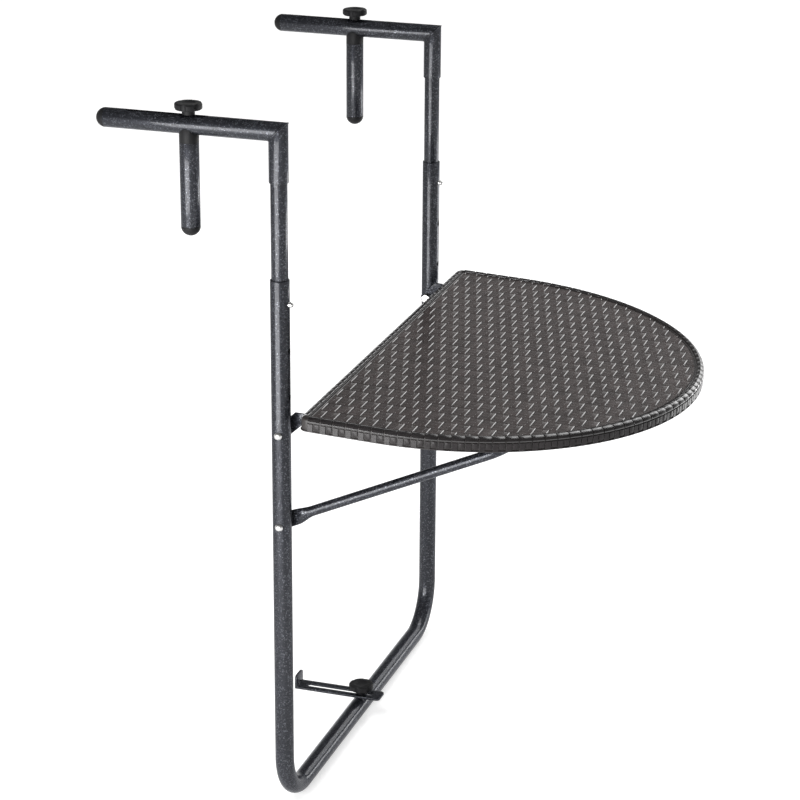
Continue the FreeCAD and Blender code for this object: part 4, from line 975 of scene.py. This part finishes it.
def makeFloor(size):
    material, tree, shader = startMaterial("paleFloor")
    tone = size["floorColor"]
    setInputs(shader, {"Base Color": (tone, tone, tone, 1), "Roughness": size["floorRoughness"],
                       "Specular IOR Level": size["floorGloss"]})
    path = tree.nodes.new("ShaderNodeLightPath")
    seen = mathNode(tree, "MAXIMUM", path.outputs["Is Camera Ray"], path.outputs["Is Glossy Ray"])
    seen = mathNode(tree, "MAXIMUM", seen, path.outputs["Is Transmission Ray"])
    glow = addNode(tree, "ShaderNodeEmission", {
        "Strength": mathNode(tree, "MULTIPLY", seen, size["floorGlow"])})
    both = addNode(tree, "ShaderNodeAddShader", {0: shader.outputs[0], 1: glow.outputs[0]})
    # Clear from below, so that the underside can be looked at through it.
    clear = addNode(tree, "ShaderNodeMixShader", {
        0: tree.nodes.new("ShaderNodeNewGeometry").outputs["Backfacing"], 1: both.outputs[0],
        2: tree.nodes.new("ShaderNodeBsdfTransparent").outputs[0]})
    tree.links.new(clear.outputs[0], tree.nodes["Material Output"].inputs["Surface"])
    bm = bmesh.new()
    bmesh.ops.create_grid(bm, x_segments=2, y_segments=2, size=size["floorSize"] / 2,
                          matrix=Matrix.Translation((0, 0, size["floorZ"])))
    mesh = meshOf(bm, "floor")
    mesh.materials.append(material)
    floor = addObject("floor", mesh)


def makeWorld(size):
    # White for the camera all round; what glossy and other rays see darkens upwards.
    world = bpy.data.worlds.new("studioWorld")
    bpy.context.scene.world = world
    world.use_nodes = True
    tree = world.node_tree
    up = addNode(tree, "ShaderNodeSeparateXYZ", {
        0: tree.nodes.new("ShaderNodeTexCoord").outputs["Generated"]}).outputs["Z"]
    share = ramp(tree, up, *size["fade"])
    tone = addNode(tree, "ShaderNodeMapRange", {0: share, 1: 0.0, 2: 1.0, 3: size["horizon"],
                                                4: size["ceiling"]}).outputs[0]
    path = tree.nodes.new("ShaderNodeLightPath")
    low = mathNode(tree, "SUBTRACT", 1.0, share)
    seen = mathNode(tree, "MULTIPLY", path.outputs["Is Glossy Ray"], low)
    seen = mathNode(tree, "MAXIMUM", seen, path.outputs["Is Transmission Ray"])
    seen = mathNode(tree, "MAXIMUM", seen, path.outputs["Is Camera Ray"])
    background = tree.nodes["Background"]
    tree.links.new(mathNode(tree, "MAXIMUM", tone, seen), background.inputs["Strength"])
    background.inputs["Color"].default_value = (1, 1, 1, 1)


def addLamp(name, spec):
    data = bpy.data.lights.new(name, "AREA")
    data.shape = "RECTANGLE"
    data.size, data.size_y = spec["size"]
    data.energy = spec["power"]
    lamp = addObject(name, data)
    aim = Vector((0, aimY, spec["centre"]))
    lamp.location = aim + outward(spec["azimuth"], spec["elevation"]) * spec["distance"]
    lamp.rotation_euler = (aim - lamp.location).to_track_quat("-Z", "Y").to_euler()
    lamp.visible_camera = False


def addSun(spec):
    data = bpy.data.lights.new("softSun", "SUN")
    data.angle = math.radians(spec["spread"])
    data.energy = spec["strength"]
    lamp = addObject("softSun", data)
    out = outward(spec["azimuth"], spec["elevation"])
    lamp.rotation_euler = (-out).to_track_quat("-Z", "Y").to_euler()
    lamp.visible_glossy = False


makeFloor(studio)
makeWorld(studio)
for name, spec in lamps.items():
    addLamp(name, spec)
addSun(sun)

bpy.context.scene.view_settings.view_transform = "Standard"
print("studio ready")
